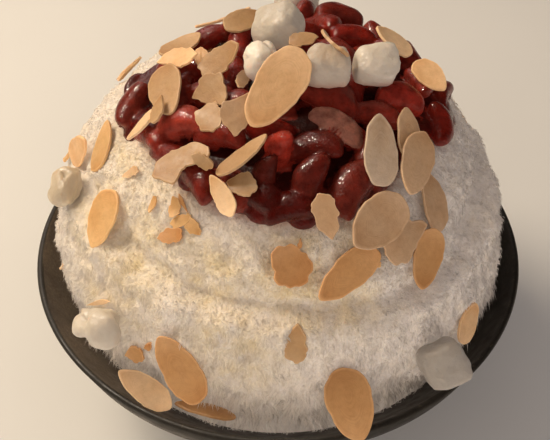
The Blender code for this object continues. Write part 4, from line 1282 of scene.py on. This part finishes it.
# ---- almond slices
def slice_outline(mesh):
    """(middle, long axis, across, normal, outline in those axes, half thickness) of a slice's solid."""
    points = rows_of(mesh.vertices, "co")
    middle = points.mean(axis=0)
    axes = np.linalg.svd(points - middle, full_matrices=False)[2]
    along, normal = Vector(axes[0]), Vector(axes[2])
    middle = Vector(middle)
    if normal.dot(middle - HEAP_CENTRE) < 0:
        normal.negate()
    across = normal.cross(along)
    shape = bmesh.new()
    shape.from_mesh(mesh)
    bmesh.ops.remove_doubles(shape, verts=shape.verts, dist=1e-5)
    shape.normal_update()
    top = {face for face in shape.faces if face.normal.dot(normal) > 0.9}
    rim = [edge for edge in shape.edges if sum(face in top for face in edge.link_faces) == 1]
    after = {}
    for edge in rim:
        a, b = edge.verts
        after.setdefault(a, []).append(b)
        after.setdefault(b, []).append(a)
    loop = [rim[0].verts[0]]
    before = None
    while True:
        onward = [v for v in after[loop[-1]] if v is not before]
        before = loop[-1]
        if onward[0] is loop[0]:
            break
        loop.append(onward[0])
    half = (loop[0].co - middle).dot(normal)
    outline = [((v.co - middle).dot(along), (v.co - middle).dot(across)) for v in loop]
    shape.free()
    turning = sum(a[0] * b[1] - a[1] * b[0] for a, b in zip(outline, outline[1:] + outline[:1]))
    if turning < 0:
        outline.reverse()
    return middle, along, across, normal, np.array(outline), half


def rounded_outline(corners, steps, crisp=True):
    """The outline on a smooth curve through its corners; where crisp, sharp breaks stay corners."""
    count = len(corners)
    before = np.roll(corners, 1, axis=0)
    after = np.roll(corners, -1, axis=0)
    entry, leave = unit(corners - before), unit(after - corners)
    sharp = ((entry * leave).sum(axis=1) < 0.45) & crisp
    tangent = np.where(sharp[:, None], 0.0, (after - before) / 2)
    result = []
    for k in range(count):
        a, b = corners[k], corners[(k + 1) % count]
        ta, tb = tangent[k], tangent[(k + 1) % count]
        for step in range(steps):
            t = step / steps
            result.append(
                (2 * t**3 - 3 * t**2 + 1) * a
                + (t**3 - 2 * t**2 + t) * ta
                + (3 * t**2 - 2 * t**3) * b
                + (t**3 - t**2) * tb
            )
    return np.array(result)


def chipped(outline, draw, depth):
    """The outline with its small nicks and crumbled places, this much deeper than usual."""
    middle = star_middle(outline)
    away = outline - middle
    angle = np.arctan2(away[:, 1], away[:, 0])
    change = np.zeros(len(outline))
    for waves, size in ((3, 0.020), (5, 0.026), (8, 0.024), (13, 0.016)):
        change += depth * size * np.sin(waves * angle + draw.uniform(0, math.tau))
    return middle + away * (1 + change - 0.02 * depth)[:, None]


def star_middle(corners):
    """A point from which the whole outline is seen, as deep inside as the outline allows."""
    low, high = corners.min(axis=0), corners.max(axis=0)
    edges = np.roll(corners, -1, axis=0) - corners
    inward = unit(np.stack((-edges[:, 1], edges[:, 0]), axis=1))
    best = max(
        (
            (((np.array((x, y)) - corners) * inward).sum(axis=1).min(), x, y)
            for x in np.linspace(low[0], high[0], 31)
            for y in np.linspace(low[1], high[1], 31)
        ),
    )
    return np.array(best[1:])


def slice_mesh(outline, half, look, seed):
    """Points, faces and colours of a fine slice in its own axes: crisp rim, faint dish and curl."""
    draw = random.Random(seed)
    middle = star_middle(outline)
    reach = np.abs(outline - middle).max()
    curl = draw.choice((-1, 1, 1)) * draw.uniform(*SLICE_CURLS)
    twist = draw.uniform(-SLICE_TWIST, SLICE_TWIST)
    dark_end = draw.choice((-1, 1))
    colour = Vector(look)
    cream = colour * 1.22 + Vector((0.06, 0.07, 0.07))
    brown = Vector((colour[0] * 0.80, colour[1] * 0.62, colour[2] * 0.42))

    def lifted(x, y, height):
        dish = SLICE_DISH * noise.noise(Vector((x * 260, y * 330, seed * 1.7)))
        ridge = SLICE_RIDGE * noise.noise(Vector((x * 300, y * 1500, seed)))
        bend = curl * (x / reach) ** 2 + twist * (x * y) / (reach * reach)
        return Vector((x, y, height + bend + dish + ridge))

    def tint(x, y, share):
        end = eased(dark_end * x / reach, 0.15, 1.0)
        warm = eased(noise.noise(Vector((x * 110, y * 130, seed * 2.3))), -0.1, 0.6)
        base = colour.lerp(brown, min(0.60 * end + 0.25 * warm, 0.75))
        pale_side = eased(-dark_end * x / reach, 0.1, 0.9)
        return base.lerp(cream, max(eased(share, 0.90, 0.99) * 0.75, 0.55 * pale_side))

    rings, tints = [], []
    levels = [(share, -half) for share in SLICE_RINGS]
    levels += [(1.0, -half * RIM_THINNING), (RIM_REACH, 0.0), (1.0, half * RIM_THINNING)]
    levels += [(share, half) for share in SLICE_RINGS[::-1]]
    for share, height in levels:
        ring = []
        for spot in outline:
            x, y = middle + (spot - middle) * share
            ring.append(lifted(x, y, height))
            tints.append(tint(x, y, share))
        rings.append(ring)
    bottom, top = lifted(*middle, -half), lifted(*middle, half)
    points, faces = stacked_rings(rings, bottom, top)
    centre_tint = tint(*middle, 0)
    growth = [0.0] + [share for share, _ in levels for _ in outline] + [0.0]
    return points, faces, [centre_tint, *tints, centre_tint], growth


def paint_slices(mesh, tints, growth):
    """The slices' colours, and how far out each point lies, which places the growth lines."""
    paint(mesh, "tint", [tuple(t) for t in tints])
    paint(mesh, "growth", np.repeat(np.array(growth)[:, None], 3, axis=1))


def make_almonds(material):
    """Each slice's solid gives the outline, the place and the thickness of its fine slice."""
    looks = {name: ALMOND_LOOKS[look] for look, names in SLICES_BY_LOOK.items() for name in names}
    nodes = sorted(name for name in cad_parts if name.startswith("almond_"))
    for seed, node in enumerate(nodes):
        middle, along, across, normal, corners, half = slice_outline(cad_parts[node].data)
        draw = random.Random(seed + 70)
        name = node.removeprefix("almond_")
        broken = name in BROKEN
        nicks = BROKEN_NICKS if broken else WHOLE_NICKS
        outline = chipped(rounded_outline(corners, 5, broken), draw, nicks)
        tone = draw.uniform(*SLICE_TONES)
        look = [c * tone for c in looks.get(name, ALMOND_TAN)]
        points, faces, tints, growth = slice_mesh(outline, half * SLICE_THINNING, look, seed)
        points = [middle + along * p.x + across * p.y + normal * p.z for p in points]
        piece = add_piece(node + "_slice", points, faces, material, node)
        piece.data.set_sharp_from_angle(angle=math.radians(60))
        paint_slices(piece.data, tints, growth)


def make_crumbs(material, ground):
    """Slivers and crumbs of almond, in one piece, lying on the ice or the syrup."""
    points, faces, tints, growth = [], [], [], []
    for seed, (spot, turn, length, width, look) in enumerate(ALMOND_CRUMBS, 300):
        draw = random.Random(seed)
        corners = []
        sides = draw.choice((4, 5, 5, 6))
        for k in range(sides):
            angle = math.tau * (k + draw.uniform(-0.22, 0.22)) / sides
            reach = draw.uniform(0.80, 1.25) / 2
            corners.append((math.cos(angle) * length * reach, math.sin(angle) * width * reach))
        outline = chipped(rounded_outline(np.array(corners), 6), draw, CRUMB_NICKS)
        colour = ALMOND_LOOKS[look]
        own_points, own_faces, own_tints, own_growth = slice_mesh(outline, CRUMB_HALF, colour, seed)
        point, normal, along = seen_place(ground, spot, turn)
        lean = draw.uniform(-CRUMB_LEAN, CRUMB_LEAN)
        matrix = placed(point + normal * CRUMB_LIFT, normal, along, lean)
        join(points, faces, [matrix @ p for p in own_points], own_faces)
        tints += own_tints
        growth += own_growth
    piece = add_piece("almond_crumbs", points, faces, material)
    paint_slices(piece.data, tints, growth)


# ---- stage
def make_stage():
    """A pale floor, a warm key light from behind on the left, and soft lights in front.

    Two small lights are seen in gloss alone, as glints. A low one without shadows stands for what a
    pale table throws back under the heap.
    """
    mesh = bpy.data.meshes.new("floor")
    mesh.from_pydata([(-1.5, -1.5, 0), (1.5, -1.5, 0), (1.5, 1.5, 0), (-1.5, 1.5, 0)], [], [(0, 1, 2, 3)])
    mesh.materials.append(floor_material())
    floor = bpy.data.objects.new("floor", mesh)
    bpy.context.scene.collection.objects.link(floor)
    # Each light: name, place, size in metres, power in watts, colour, what it reaches.
    lights = (
        ("key", (-0.46, 0.20, 0.64), 0.42, 5.5, (1.0, 0.78, 0.53), "diffuse"),
        ("sparkle", (-0.36, 0.10, 0.66), 0.07, 6.5, (1.0, 0.86, 0.70), "glossy"),
        ("sheen", (-0.25, 0.62, 0.52), 0.30, 1.1, (1.0, 0.90, 0.84), "glossy"),
        ("front", (-0.22, -0.68, 0.46), 0.70, 1.25, (1.0, 0.81, 0.63), "diffuse"),
        ("fill", (0.55, -0.50, 0.45), 0.90, 0.95, (1.0, 0.87, 0.82), "diffuse"),
        ("lift", (-0.05, -0.66, -0.16), 0.60, 1.60, (1.0, 0.84, 0.70), "shadowless"),
    )
    for name, place, size, energy, colour, reach in lights:
        light = bpy.data.lights.new(name, "AREA")
        light.size = size
        light.energy = energy
        light.color = colour
        lamp = bpy.data.objects.new(name, light)
        lamp.location = place
        lamp.visible_glossy = reach == "glossy"
        lamp.visible_diffuse = reach != "glossy"
        light.use_shadow = reach != "shadowless"
        aim = Vector((0.0, 0.0, 0.08)) - Vector(place)
        lamp.rotation_euler = aim.to_track_quat("-Z", "Y").to_euler()
        bpy.context.scene.collection.objects.link(lamp)
    world = bpy.data.worlds.new("studio")
    world.use_nodes = True
    background = world.node_tree.nodes["Background"]
    background.inputs["Color"].default_value = (1.0, 0.83, 0.72, 1.0)
    background.inputs["Strength"].default_value = 0.26
    world.cycles_visibility.glossy = False
    bpy.context.scene.world = world
    bpy.context.scene.view_settings.view_transform = "Standard"


def make_camera():
    camera = bpy.data.cameras.new("camera")
    camera.sensor_width = SENSOR_WIDTH
    camera.lens = VIEW_FOCAL / VIEW_FRAME[0] * SENSOR_WIDTH
    camera.clip_start = 0.01
    holder = bpy.data.objects.new("camera", camera)
    holder.location = VIEW_POINT
    holder.rotation_euler = (math.pi / 2 - VIEW_ELEVATION, 0.0, 0.0)
    bpy.context.scene.collection.objects.link(holder)
    bpy.context.scene.camera = holder


def main():
    make_stage()
    make_camera()
    make_bowl()
    lying = [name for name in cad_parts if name.startswith(("almond_", "rice_cake_"))]
    toppings = tree_of_node(*lying)
    ice = make_ice_core(toppings, tree_of_node(*SUNK))
    flake = ice_flake_material()
    for number in range(1, FLAKE_PIECES + 1):
        make_flakes(ice, toppings, flake, number)
    beans = make_beans()
    make_rice_cakes(rice_cake_material())
    almond = almond_material()
    make_almonds(almond)
    make_crumbs(almond, tree_of_meshes(ice.data, beans.data))


main()
